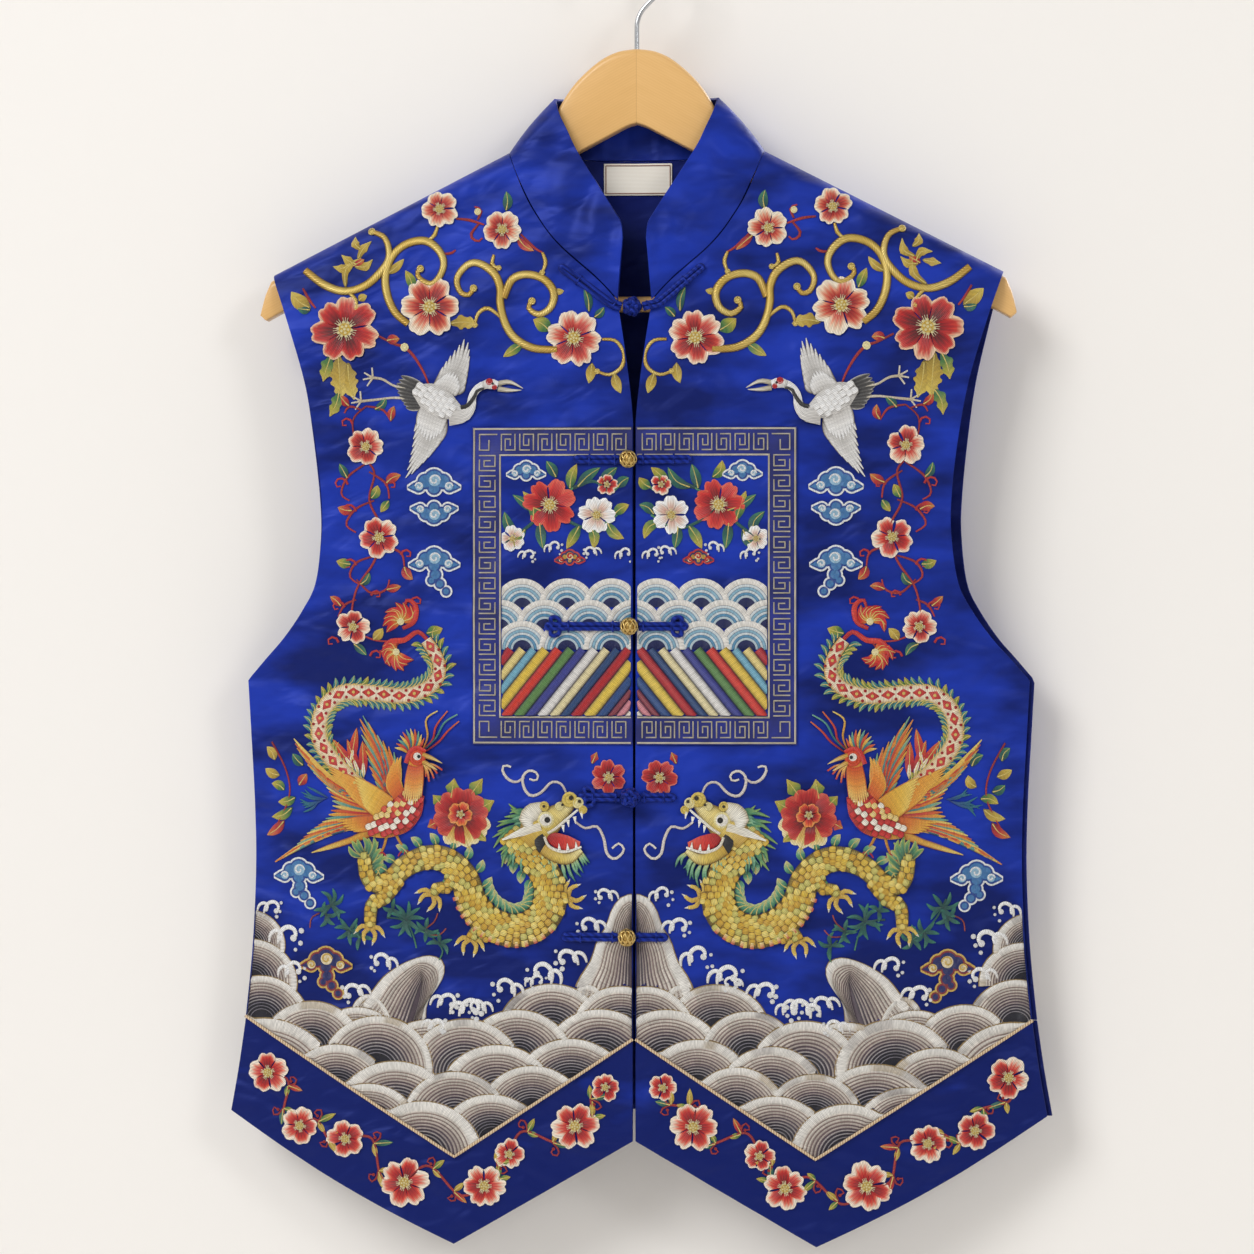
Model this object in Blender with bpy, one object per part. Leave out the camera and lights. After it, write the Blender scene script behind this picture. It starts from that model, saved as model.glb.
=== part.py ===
"""An embroidered satin vest with a stand collar, hanging on a wooden hanger.

Names and tables hold millimetres; MM turns them into metres where points are made.
X runs to the viewer's right, Y away from the viewer and Z up. The origin is where
a rail touches the underside of the hanger's hook.
"""

import math
from collections import namedtuple

import bmesh
import bpy
from mathutils import Vector

MM = 0.001

# Thicknesses: satin, interlining and lining make one wall.
WALL = 1.5
COLLAR_WALL = 2.0
BADGE_WALL = 0.9
LABEL_WALL = 0.6
SEAM_GAP = 0.3
LAY_GAP = 0.5       # between a panel and what lies on it
COLLAR_GAP = 0.9    # the collar stands this far above the neck edge
FRONT_GAP = 1.5     # between the two fronts, edge to edge

# Depth of the hanging vest to each side of the hanger's mid-plane.
FRONT_DEPTH = 28.0
BACK_DEPTH = 20.0
ROLL_RADIUS = 10.0  # the cloth rolls over the hanger's arm
FILL_OUT = 90.0     # fall over which the vest reaches its full depth
EDGE_POWER = 2.6    # how late the panels turn towards the side seams
SEAM_STAND = 1.65   # outer face to mid-plane at a side seam

Spot = namedtuple("Spot", "out z")

# Half outline of the front: distance out from the centre line, and height.
NECK_FRONT = (
    Spot(10.2, -219.2), Spot(21.8, -206.6), Spot(45.8, -185.0),
    Spot(59.5, -166.6), Spot(68.0, -150.5), Spot(76.5, -128.5),
)
NECK_BACK = (Spot(0.0, -132.5), Spot(30.0, -132.0), Spot(58.0, -130.4), Spot(76.5, -128.5))
NECK_POINT = NECK_FRONT[-1]
SHOULDER_TIP = Spot(218.2, -201.0)
ARMHOLE = (
    SHOULDER_TIP, Spot(208.5, -229.0), Spot(197.4, -266.0), Spot(191.0, -300.0),
    Spot(187.2, -332.4), Spot(186.8, -357.0), Spot(190.9, -385.6), Spot(198.8, -401.8),
    Spot(210.7, -418.5), Spot(222.7, -431.7), Spot(233.8, -444.0),
)
SIDE_SEAM = (
    Spot(233.8, -444.0), Spot(232.0, -475.5), Spot(229.7, -518.6), Spot(229.1, -557.5),
    Spot(231.2, -604.0), Spot(235.3, -645.6),
)
BAND_SIDE = (Spot(235.3, -645.9), Spot(239.5, -675.0), Spot(244.3, -702.5))
BAND_TOP_CENTRE = -655.5
BAND_TOP_POINT = Spot(106.9, -726.0)
HEM_CENTRE = -716.0
HEM_POINT = Spot(107.4, -778.0)
HEM_BELLY = 4.0     # the outer hem slope hangs a little below its chord
GAPE_TOP = NECK_FRONT[0].z
GAPE_END = -292.0   # the fronts part above this height

# The back's armhole is cut less deep, and the back wraps round the side it shows on.
BACK_ARM_EXTRA = 5.5
BACK_SHOWS = {-1: 0.3, 1: 3.0}

# How much of the full depth the armhole's edge keeps at each height.
Stand = namedtuple("Stand", "z share")
ARMHOLE_STANDS = (
    Stand(-230.0, 1.0), Stand(-300.0, 0.86), Stand(-360.0, 0.74),
    Stand(-400.0, 0.56), Stand(-425.0, 0.3), Stand(-444.0, 0.0),
)

# Largest folds: centre, direction in degrees from level, half length, half width, height.
Fold = namedtuple("Fold", "x z angle length width height")
FRONT_FOLDS = (
    Fold(-160.0, -300.0, -20.0, 50.0, 15.0, 1.8),
    Fold(-158.0, -352.0, 4.0, 46.0, 14.0, 2.2),
    Fold(-166.0, -402.0, -12.0, 55.0, 15.0, 2.4),
    Fold(-160.0, -462.0, 12.0, 42.0, 14.0, -1.8),
    Fold(-60.0, -520.0, 6.0, 55.0, 13.0, 1.6),
    Fold(-200.0, -590.0, 78.0, 60.0, 16.0, 2.2),
    Fold(158.0, -318.0, 16.0, 48.0, 15.0, 2.0),
    Fold(156.0, -372.0, -8.0, 50.0, 14.0, 2.2),
    Fold(172.0, -424.0, 18.0, 55.0, 15.0, 2.2),
    Fold(158.0, -478.0, -10.0, 42.0, 14.0, -1.8),
    Fold(58.0, -540.0, -6.0, 55.0, 13.0, 1.6),
    Fold(202.0, -560.0, 100.0, 60.0, 16.0, 2.2),
)
BACK_FOLDS = (
    Fold(-92.0, -330.0, 84.0, 120.0, 22.0, 2.6),
    Fold(74.0, -380.0, 97.0, 140.0, 24.0, 2.8),
    Fold(-150.0, -470.0, 62.0, 70.0, 18.0, 2.2),
    Fold(158.0, -450.0, 118.0, 70.0, 18.0, 2.2),
    Fold(-24.0, -560.0, 88.0, 110.0, 22.0, -2.0),
    Fold(120.0, -610.0, 92.0, 80.0, 20.0, 2.0),
)

# Collar: top edge from the centre back round to the front end.
Place = namedtuple("Place", "out y z")
COLLAR_TOP_BACK = (
    Place(0.0, 17.0, -94.5), Place(25.0, 15.0, -94.5),
    Place(42.0, 9.5, -95.3), Place(49.0, -3.0, -96.5),
)
COLLAR_TOP_FRONT = (
    COLLAR_TOP_BACK[-1], Place(47.0, -10.5, -103.0), Place(42.5, -13.5, -113.5),
    Place(35.2, -16.5, -128.3), Place(23.5, -21.0, -147.5), Place(12.2, -25.0, -165.5),
    Place(8.0, -26.0, -173.0), Place(6.9, -26.5, -182.0),
)
COLLAR_BACK_SHARE = 0.4
COLLAR_CROWN = 1.2

# The applied square, the label and the piping.
BADGE_HALF_WIDTH = 96.2
BADGE_TOP = -293.8
BADGE_BOTTOM = -481.8
LABEL_HALF_WIDTH = 20.5
LABEL_TOP = -134.0
LABEL_BOTTOM = -153.0
PIPING_RADIUS = 0.9

# Closures: height, button, and how far each cord bar reaches from the centre line.
Closure = namedtuple("Closure", "z button_x left right on_badge kind")
CLOSURES = (
    Closure(-222.7, -1.4, 44.0, 40.5, False, "knot"),
    Closure(-313.2, -3.2, 34.5, 33.0, True, "ball"),
    Closure(-411.8, -2.6, 52.0, 31.0, True, "ball"),
    Closure(-512.6, -2.0, 32.0, 24.0, False, "knot"),
    Closure(-595.2, -4.0, 41.5, 19.0, False, "ball"),
)
BUTTON_RADIUS = {"knot": 6.0, "ball": 5.3}
NECK_FROG_RISE = 24.0   # the collar's bars climb beside the neck seam
CORD_PROFILE = (        # two cords side by side: across, height
    (-2.8, 0.0), (-2.5, 1.2), (-1.4, 1.8), (0.0, 1.1), (1.4, 1.8), (2.5, 1.2), (2.8, 0.0),
)

# Hanger: a flat board, a trouser bar let into its ends and a wire hook.
WOOD_THICK = 12.0
WOOD_EDGE = 4.5
WOOD_BELOW_SEAM = 3.2
ARM_SLOPE = 0.53
ARM_UNDER_CENTRE = -110.5
HEAD_OUTLINE = (
    Spot(0.0, -67.0), Spot(11.5, -68.7), Spot(23.0, -74.6), Spot(36.5, -87.0),
    Spot(46.0, -101.0), Spot(53.5, -116.0), Spot(61.0, -128.0), Spot(72.0, -134.5),
)
TIP_OUTLINE = (Spot(219.5, -204.6), Spot(223.5, -214.0), Spot(225.8, -225.5), Spot(222.5, -228.6))
BAR_RADIUS = 4.7
BAR_HALF_LENGTH = 208.0
BAR_Z = -219.5
WIRE_RADIUS = 1.5
HOOK_RADIUS = 20.0
HOOK_BEND_START = -54.0
HOOK_ROOT = -89.0
HOOK_END_ANGLE = 205.0
FIT = 0.3           # round pieces in their holes


def smooth(points, steps=10):
    """Dense points on a smooth curve through a few."""
    dense = []
    last = len(points) - 1
    for index in range(last):
        knots = (
            points[max(index - 1, 0)], points[index],
            points[index + 1], points[min(index + 2, last)],
        )
        for step in range(steps):
            f = step / steps
            dense.append(tuple(
                0.5 * (2 * b + (c - a) * f + (2 * a - 5 * b + 4 * c - d) * f ** 2
                       + (3 * b - a - 3 * c + d) * f ** 3)
                for a, b, c, d in zip(*knots)))
    dense.append(tuple(points[last]))
    return dense


def along(points):
    """A function from a fraction of a line's length to its point."""
    lengths = [0.0]
    for start, end in zip(points, points[1:]):
        lengths.append(lengths[-1] + math.dist(start, end))

    def point_at(fraction):
        wanted = min(max(fraction, 0.0), 1.0) * lengths[-1]
        index = 0
        while index < len(points) - 2 and lengths[index + 1] < wanted:
            index += 1
        share = (wanted - lengths[index]) / (lengths[index + 1] - lengths[index])
        return tuple(a + (b - a) * share for a, b in zip(points[index], points[index + 1]))

    return point_at


def joined(first, second, share):
    """One line out of two: `first` up to `share` of the way, then `second`."""
    def point_at(fraction):
        if fraction <= share:
            return first(fraction / share)
        return second((fraction - share) / (1.0 - share))
    return point_at


def spans(*parts):
    """Stops from 0 to 1: each part gives its end and its number of steps."""
    stops = [0.0]
    for end, steps in parts:
        start = stops[-1]
        stops += [start + (end - start) * (step + 1) / steps for step in range(steps)]
    return stops


def between(value, table):
    """The second column at `value`, where the first column falls."""
    if value >= table[0][0]:
        return table[0][1]
    for upper, lower in zip(table, table[1:]):
        if value >= lower[0]:
            share = (upper[0] - value) / (upper[0] - lower[0])
            return upper[1] + (lower[1] - upper[1]) * share
    return table[-1][1]


armhole_line = along(smooth(ARMHOLE))
side_line = along(smooth(SIDE_SEAM))
band_side_line = along(smooth(BAND_SIDE))
neck_front_line = along(smooth(NECK_FRONT))
neck_back_line = along(smooth(NECK_BACK))
shoulder_line = along([NECK_POINT, SHOULDER_TIP])
SIDE_HEIGHTS = [(z, out) for out, z in smooth(ARMHOLE) + smooth(SIDE_SEAM) + smooth(BAND_SIDE)]
SHOULDER_SLOPE = (NECK_POINT.z - SHOULDER_TIP.z) / (SHOULDER_TIP.out - NECK_POINT.out)


def fold_height(x, z, folds):
    """Raised folds and troughs at a place."""
    total = 0.0
    for fold in folds:
        turn = math.radians(fold.angle)
        right = x - fold.x
        up = z - fold.z
        run = (right * math.cos(turn) + up * math.sin(turn)) / fold.length
        across = (up * math.cos(turn) - right * math.sin(turn)) / fold.width
        total += fold.height * math.exp(-run * run - across * across)
    return total


def cloth_depth(x, z, full, edge_out, folds):
    """How far the outer face stands from the hanger's mid-plane."""
    fall = max(NECK_POINT.z - SHOULDER_SLOPE * (abs(x) - NECK_POINT.out) - z, 0.0)
    turn = min(fall / ROLL_RADIUS, 1.0)
    rolled = ROLL_RADIUS * math.sqrt(turn * (2.0 - turn))
    middle = rolled + (full - ROLL_RADIUS) * (1.0 - math.exp(-fall / FILL_OUT))
    stand = between(z, ARMHOLE_STANDS)
    edge = middle * stand + SEAM_STAND * (1.0 - stand)
    share = min(abs(x) / edge_out, 1.0) ** EDGE_POWER
    folded = fold_height(x, z, folds) * min(fall / 40.0, 1.0) * (1.0 - share ** 2)
    return middle * (1.0 - share) + edge * share + folded + SEAM_GAP / 2


def front_point(x, z, lift=0.0):
    depth = cloth_depth(x, z, FRONT_DEPTH, between(z, SIDE_HEIGHTS), FRONT_FOLDS)
    return Vector((x, -depth - lift, z)) * MM


def back_edge_extra(z, side):
    """How far the back's side edge stands outside the front's."""
    under_arm = ARMHOLE[-1].z
    if z <= under_arm:
        return BACK_SHOWS[side]
    share = min(max((SHOULDER_TIP.z - z) / (SHOULDER_TIP.z - under_arm), 0.0), 1.0)
    return BACK_ARM_EXTRA * math.sin(math.pi * share) + BACK_SHOWS[side] * share


def back_point(x, z, lift=0.0):
    side = 1 if x > 0 else -1
    edge_out = between(z, SIDE_HEIGHTS) + back_edge_extra(z, side)
    depth = cloth_depth(x, z, BACK_DEPTH, edge_out, BACK_FOLDS)
    return Vector((x, depth + lift, z)) * MM


def gape(z):
    """Half the distance between the fronts at a height."""
    share = min(max((z - GAPE_END) / (GAPE_TOP - GAPE_END), 0.0), 1.0)
    return FRONT_GAP / 2 + (NECK_FRONT[0].out - FRONT_GAP / 2) * share ** 1.3


def centre_front(top, bottom):
    """The front edge between two heights, by fraction."""
    def point_at(fraction):
        z = top + (bottom - top) * fraction
        return gape(z), z
    return point_at


def patch(top, bottom, inner, outer, u, v):
    """A point inside four boundary lines (a Coons patch)."""
    corners = (top(0.0), top(1.0), bottom(0.0), bottom(1.0))
    shares = ((1 - u) * (1 - v), u * (1 - v), (1 - u) * v, u * v)
    ruled = zip(top(u), bottom(u), inner(v), outer(v))
    point = [(1 - v) * t + v * b + (1 - u) * i + u * o for t, b, i, o in ruled]
    for corner, share in zip(corners, shares):
        point = [value - share * part for value, part in zip(point, corner)]
    return point


def linear(hex_colour):
    """An sRGB hex colour as linear values."""
    channels = [int(hex_colour[start:start + 2], 16) / 255 for start in (1, 3, 5)]
    return [c / 12.92 if c <= 0.04045 else ((c + 0.055) / 1.055) ** 2.4 for c in channels] + [1.0]


def material(name, colour, roughness, metallic=0.0):
    paint = bpy.data.materials.get(name) or bpy.data.materials.new(name)
    paint.use_nodes = True
    shader = paint.node_tree.nodes["Principled BSDF"]
    shader.inputs["Base Color"].default_value = linear(colour)
    shader.inputs["Roughness"].default_value = roughness
    shader.inputs["Metallic"].default_value = metallic
    return paint


def satin():
    return material("blue satin", "#1F2F95", 0.38)


def add_object(name, data, paint):
    item = bpy.data.objects.new(name, data)
    bpy.context.scene.collection.objects.link(item)
    data.materials.append(paint)
    return item


def mesh_object(name, shape, paint, sharp_angle=40.0):
    """Finish a bmesh as an object that is shaded smooth."""
    mesh = bpy.data.meshes.new(name)
    shape.to_mesh(mesh)
    shape.free()
    mesh.shade_smooth()
    mesh.set_sharp_from_angle(angle=math.radians(sharp_angle))
    return add_object(name, mesh, paint)


def cloth_piece(name, place, columns, rows, wall, paint, turned=False, half=0):
    """A grid placed by place(u, v), thickened away from its outer face.

    `half` keeps the wall in front of the mid-plane (-1) or behind it (1), so that
    the panels stay parted along the seams where they meet.
    """
    sheet = bmesh.new()
    bmesh.ops.create_grid(
        sheet, x_segments=len(columns) - 1, y_segments=len(rows) - 1, size=0.5)
    for vertex in sheet.verts:
        column = round((vertex.co.x + 0.5) * (len(columns) - 1))
        row = round((0.5 - vertex.co.y) * (len(rows) - 1))
        vertex.co = place(columns[column], rows[row])
    if turned:
        bmesh.ops.reverse_faces(sheet, faces=sheet.faces)
    sheet.normal_update()
    bmesh.ops.solidify(sheet, geom=sheet.faces[:], thickness=wall * MM)
    if half:
        nearest = SEAM_GAP / 2 * MM
        for vertex in sheet.verts:
            vertex.co.y = half * max(half * vertex.co.y, nearest)
    return mesh_object(name, sheet, paint)


PANEL_ROWS = spans((0.0035, 1), (0.012, 1), (0.026, 1), (1.0, 19))
NECK_SHARE = 0.34
POINT_SHARE = 0.46
ARMHOLE_SHARE = 0.56
BACK_NECK_SHARE = 0.36
# Columns crowd together beside the neck point, where the neck edge rolls over the hanger.
FRONT_COLUMNS = spans(
    (0.285, 5), (0.322, 1), (0.3345, 1), (NECK_SHARE, 1), (POINT_SHARE, 2), (1.0, 8))
BACK_HALF_COLUMNS = spans((0.27, 3), (0.325, 1), (0.348, 1), (BACK_NECK_SHARE, 1), (1.0, 8))
BACK_COLUMNS = [-stop for stop in reversed(BACK_HALF_COLUMNS[1:])] + BACK_HALF_COLUMNS
BAND_ROWS = spans((1.0, 3))


def pointed_line(centre_z, point, corner, belly=0.0):
    """A line from the centre front down to the hem's point and up to the side."""
    first = along([(gape(centre_z), centre_z), tuple(point)])
    second = along([tuple(point), tuple(corner)])

    def slope(fraction):
        out, z = second(fraction)
        return out, z - belly * math.sin(math.pi * fraction)

    return joined(first, slope, POINT_SHARE)


band_seam = pointed_line(BAND_TOP_CENTRE, BAND_TOP_POINT, SIDE_SEAM[-1])
hem = pointed_line(HEM_CENTRE, HEM_POINT, BAND_SIDE[-1], HEM_BELLY)


def make_front(name, side):
    top = joined(neck_front_line, shoulder_line, NECK_SHARE)
    outer = joined(armhole_line, side_line, ARMHOLE_SHARE)
    inner = centre_front(GAPE_TOP, BAND_TOP_CENTRE)

    def place(u, v):
        out, z = patch(top, band_seam, inner, outer, u, v)
        return front_point(side * out, z)

    return cloth_piece(
        name, place, FRONT_COLUMNS, PANEL_ROWS, WALL, satin(), turned=side < 0, half=-1)


def make_front_band(name, side):
    def place(u, v):
        out, z = patch(
            lambda f: (band_seam(f)[0], band_seam(f)[1] - SEAM_GAP), hem,
            centre_front(BAND_TOP_CENTRE - SEAM_GAP, HEM_CENTRE), band_side_line, u, v)
        return front_point(side * out, z)

    return cloth_piece(
        name, place, FRONT_COLUMNS, BAND_ROWS, WALL, satin(), turned=side < 0, half=-1)


def make_back():
    top = joined(neck_back_line, shoulder_line, BACK_NECK_SHARE)
    outer = joined(armhole_line, side_line, ARMHOLE_SHARE)
    bottom = along([(0.0, SIDE_SEAM[-1].z), tuple(SIDE_SEAM[-1])])
    inner = along([tuple(NECK_BACK[0]), (0.0, SIDE_SEAM[-1].z)])

    def place(u, v):
        side = -1 if u < 0 else 1
        out, z = patch(top, bottom, inner, outer, abs(u), v)
        edge = between(z, SIDE_HEIGHTS)
        out += back_edge_extra(z, side) * (out / edge) ** 4
        return back_point(side * out, z)

    return cloth_piece(
        "back", place, BACK_COLUMNS, PANEL_ROWS, WALL, satin(), turned=True, half=1)


def make_back_band():
    def place(u, v):
        side = -1 if u < 0 else 1
        edge, z = band_side_line(v)
        return back_point(u * (edge + BACK_SHOWS[side]), z)

    return cloth_piece(
        "hem_band_back", place, BACK_COLUMNS, BAND_ROWS, WALL, satin(), turned=True, half=1)


def collar_point(u, v):
    """u runs from the left front end round the back to the right; v from top to base."""
    side = -1 if u < 0 else 1
    t = 1.0 - abs(u)
    back = 1.0 - t
    if back <= COLLAR_BACK_SHARE:
        fraction = back / COLLAR_BACK_SHARE
        base_out, base_z = neck_back_line(fraction)
        base = back_point(side * base_out, base_z) / MM
        top = collar_top_back(fraction)
    else:
        fraction = (back - COLLAR_BACK_SHARE) / (1.0 - COLLAR_BACK_SHARE)
        base_out, base_z = neck_front_line(1.0 - fraction)
        base = front_point(side * base_out, base_z) / MM
        top = collar_top_front(fraction)
    top = Vector((side * top[0], top[1], top[2]))
    rise = top - base
    base += rise.normalized() * COLLAR_GAP
    point = base.lerp(top, 1.0 - v)
    outward = Vector((point.x * 0.6, point.y * 2.0 + 1.0, 20.0)).normalized()
    return (point + outward * COLLAR_CROWN * math.sin(math.pi * v)) * MM


collar_top_back = along(smooth(COLLAR_TOP_BACK))
collar_top_front = along(smooth(COLLAR_TOP_FRONT))
COLLAR_HALF = spans(
    (0.3, 3), (0.36, 1), (0.385, 1), (COLLAR_BACK_SHARE, 1), (0.415, 1), (0.44, 1), (0.48, 1),
    (1.0, 8))
COLLAR_COLUMNS = [-stop for stop in reversed(COLLAR_HALF[1:])] + COLLAR_HALF


def make_collar():
    return cloth_piece(
        "collar", collar_point, COLLAR_COLUMNS, spans((1.0, 4)), COLLAR_WALL, satin(),
        turned=True)


def make_badge(name, side):
    paint = material("navy badge cloth", "#17204F", 0.6)

    def place(u, v):
        out = FRONT_GAP / 2 + 0.2 + (BADGE_HALF_WIDTH - FRONT_GAP / 2 - 0.2) * u
        z = BADGE_TOP + (BADGE_BOTTOM - BADGE_TOP) * v
        out = max(out, gape(z) + 0.2)
        return front_point(side * out, z, LAY_GAP + BADGE_WALL)

    return cloth_piece(
        name, place, spans((1.0, 6)), spans((1.0, 10)), BADGE_WALL, paint, turned=side < 0)


def make_label():
    paint = material("cream label", "#E9E2D0", 0.8)

    def place(u, v):
        x = LABEL_HALF_WIDTH * u
        z = LABEL_TOP + (LABEL_BOTTOM - LABEL_TOP) * v
        return back_point(x, z, -WALL - LAY_GAP - LABEL_WALL)

    columns = [-1.0, -0.5, 0.0, 0.5, 1.0]
    return cloth_piece("neck_label", place, columns, spans((1.0, 2)), LABEL_WALL, paint)


def wire(name, points, radius, paint, sides_step=2):
    """A round cord or wire through points that are already in metres."""
    curve = bpy.data.curves.new(name, "CURVE")
    curve.dimensions = "3D"
    spline = curve.splines.new("POLY")
    spline.points.add(len(points) - 1)
    for slot, point in zip(spline.points, points):
        slot.co = (*point, 1.0)
    curve.bevel_depth = radius * MM
    curve.bevel_resolution = sides_step
    curve.use_fill_caps = True
    return add_object(name, curve, paint)


def make_piping(name, side):
    paint = material("orange piping", "#C98F55", 0.7)
    points = []
    for u in FRONT_COLUMNS:
        out, z = band_seam(u)
        points.append(front_point(side * out, z, LAY_GAP + PIPING_RADIUS))
    return wire(name, points, PIPING_RADIUS, paint, sides_step=1)


def make_frog_half(name, path, lift):
    """Two cords side by side along a path of (x, z) on the front."""
    shape = bmesh.new()
    rings = []
    place = along(path)
    stops = spans((0.12, 1), (0.88, 4), (1.0, 1))
    for stop in stops:
        x, z = place(stop)
        before = place(stop - 0.02)
        after = place(stop + 0.02)
        direction = Vector((after[0] - before[0], after[1] - before[1])).normalized()
        narrow = 0.6 if stop in (0.0, 1.0) else 1.0
        ring = []
        for across, height in CORD_PROFILE:
            here_x = x - direction.y * across * narrow
            here_z = z + direction.x * across * narrow
            ring.append(shape.verts.new(front_point(here_x, here_z, lift + height * narrow)))
        rings.append(ring)
    for ring, following in zip(rings, rings[1:]):
        for index in range(len(ring)):
            after = (index + 1) % len(ring)
            shape.faces.new((ring[index], ring[after], following[after], following[index]))
    shape.faces.new(list(reversed(rings[0])))
    shape.faces.new(rings[-1])
    bmesh.ops.recalc_face_normals(shape, faces=shape.faces)
    return mesh_object(name, shape, satin())


def frog_path(closure, side, reach):
    """From beside the button out to the bar's end."""
    start = closure.button_x + side * (BUTTON_RADIUS[closure.kind] + FIT)
    if closure.z < NECK_FRONT[0].z - 10.0:
        return [(start, closure.z), (side * reach, closure.z)]
    low = (side * (NECK_FRONT[0].out + 4.0), closure.z + 2.0)
    return [(start, closure.z), low, (side * reach, closure.z + NECK_FROG_RISE)]


def make_closure(number, closure):
    lift = LAY_GAP
    if closure.on_badge:
        lift += LAY_GAP + BADGE_WALL
    for side_name, side, reach in (("left", -1, closure.left), ("right", 1, closure.right)):
        make_frog_half(f"frog_{number}_{side_name}", frog_path(closure, side, reach), lift)
    radius = BUTTON_RADIUS[closure.kind]
    ball = bmesh.new()
    bmesh.ops.create_uvsphere(ball, u_segments=12, v_segments=8, radius=radius * MM)
    paint = satin()
    if closure.kind == "ball":
        paint = material("brass filigree", "#9A7B3A", 0.35, 1.0)
    parted = gape(closure.z) > radius
    stand = CORD_PROFILE[2][1] / 2 if parted else radius
    centre = front_point(closure.button_x, closure.z, lift + stand)
    bmesh.ops.translate(ball, verts=ball.verts, vec=centre)
    mesh_object(f"button_{number}", ball, paint)


def cutter(name, radius, start, end):
    """A hidden cylinder between two points, for a hole."""
    shape = bmesh.new()
    axis = Vector(end) - Vector(start)
    bmesh.ops.create_cone(
        shape, cap_ends=True, segments=16, radius1=radius * MM, radius2=radius * MM,
        depth=axis.length * MM)
    turn = axis.to_track_quat("Z", "Y").to_matrix()
    bmesh.ops.rotate(shape, verts=shape.verts, matrix=turn)
    bmesh.ops.translate(shape, verts=shape.verts, vec=(Vector(start) + axis / 2) * MM)
    item = mesh_object(name, shape, material("cutter", "#FF00FF", 0.5))
    item.hide_render = True
    item.display_type = "WIRE"
    return item


def wood_outline():
    """The board's half outline from the head's top to the tip and back underneath."""
    head = smooth(HEAD_OUTLINE, steps=3)
    top = [spot for spot in head if spot[0] < HEAD_OUTLINE[-1].out]
    for out in (NECK_POINT.out + 14.0, SHOULDER_TIP.out - 2.0):
        top.append((out, NECK_POINT.z - SHOULDER_SLOPE * (out - NECK_POINT.out) - WOOD_BELOW_SEAM))
    under = [(out, ARM_UNDER_CENTRE - ARM_SLOPE * out) for out in (216.0, 150.0, 75.0, 20.0)]
    return top + [tuple(spot) for spot in TIP_OUTLINE] + under


def make_hanger():
    beech = material("varnished beech", "#D9AE74", 0.4)
    half = wood_outline()
    outline = half + [(0.0, ARM_UNDER_CENTRE - 1.5)]
    outline += [(-out, z) for out, z in reversed(half[1:])]
    board = bmesh.new()
    verts = [board.verts.new(Vector((out, WOOD_THICK / 2, z)) * MM) for out, z in outline]
    face = board.faces.new(verts)
    grown = bmesh.ops.extrude_face_region(board, geom=[face])
    moved = [item for item in grown["geom"] if isinstance(item, bmesh.types.BMVert)]
    bmesh.ops.translate(board, verts=moved, vec=(0.0, -WOOD_THICK * MM, 0.0))
    bmesh.ops.recalc_face_normals(board, faces=board.faces)
    wood = mesh_object("hanger_wood", board, beech)
    edge = wood.modifiers.new("rounded edges", "BEVEL")
    edge.width = WOOD_EDGE * MM
    edge.segments = 2
    edge.limit_method = "ANGLE"
    edge.angle_limit = math.radians(60.0)
    holes = [cutter("hook_hole", WIRE_RADIUS + FIT, (0, 0, HOOK_ROOT - FIT), (0, 0, -60.0))]
    for name, side in (("bar_socket_left", -1), ("bar_socket_right", 1)):
        inside = (side * 150.0, 0, BAR_Z)
        end = (side * (BAR_HALF_LENGTH + FIT), 0, BAR_Z)
        holes.append(cutter(name, BAR_RADIUS + FIT, inside, end))
    for hole in holes:
        cut = wood.modifiers.new(hole.name, "BOOLEAN")
        cut.operation = "DIFFERENCE"
        cut.object = hole
    ends = [Vector((side * BAR_HALF_LENGTH, 0.0, BAR_Z)) * MM for side in (-1, 1)]
    wire("hanger_bar", ends, BAR_RADIUS, beech)
    make_hook()


def make_hook():
    """The wire rises from the head, bends aside and goes round over the rail."""
    centre_z = WIRE_RADIUS - HOOK_RADIUS
    start = math.radians(-45.0)
    sweep = math.radians(HOOK_END_ANGLE) - start
    arc = []
    for step in range(29):
        angle = start + sweep * step / 28
        arc.append((HOOK_RADIUS * math.cos(angle), centre_z + HOOK_RADIUS * math.sin(angle)))
    first = Vector(arc[0])
    pull = 10.0
    handles = (
        Vector((0.0, HOOK_BEND_START)), Vector((0.0, HOOK_BEND_START + pull)),
        first - Vector((1.0, 1.0)).normalized() * pull, first,
    )
    bend = []
    for step in range(8):
        f = step / 8
        shares = ((1 - f) ** 3, 3 * f * (1 - f) ** 2, 3 * f * f * (1 - f), f ** 3)
        bend.append(sum((handle * share for handle, share in zip(handles, shares)), Vector((0, 0))))
    flat = [(0.0, HOOK_ROOT)] + [tuple(point) for point in bend] + arc
    points = [Vector((x, 0.0, z)) * MM for x, z in flat]
    wire("hanger_hook", points, WIRE_RADIUS, material("steel wire", "#B9BCC0", 0.25, 1.0))


def main():
    for leftover in list(bpy.data.objects):
        bpy.data.objects.remove(leftover)
    for side_name, side in (("left", -1), ("right", 1)):
        make_front(f"front_{side_name}", side)
        make_front_band(f"hem_band_{side_name}", side)
        make_piping(f"piping_{side_name}", side)
        make_badge(f"badge_{side_name}", side)
    make_back()
    make_back_band()
    make_collar()
    make_label()
    for number, closure in enumerate(CLOSURES, start=1):
        make_closure(number, closure)
    make_hanger()


main()
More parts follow.
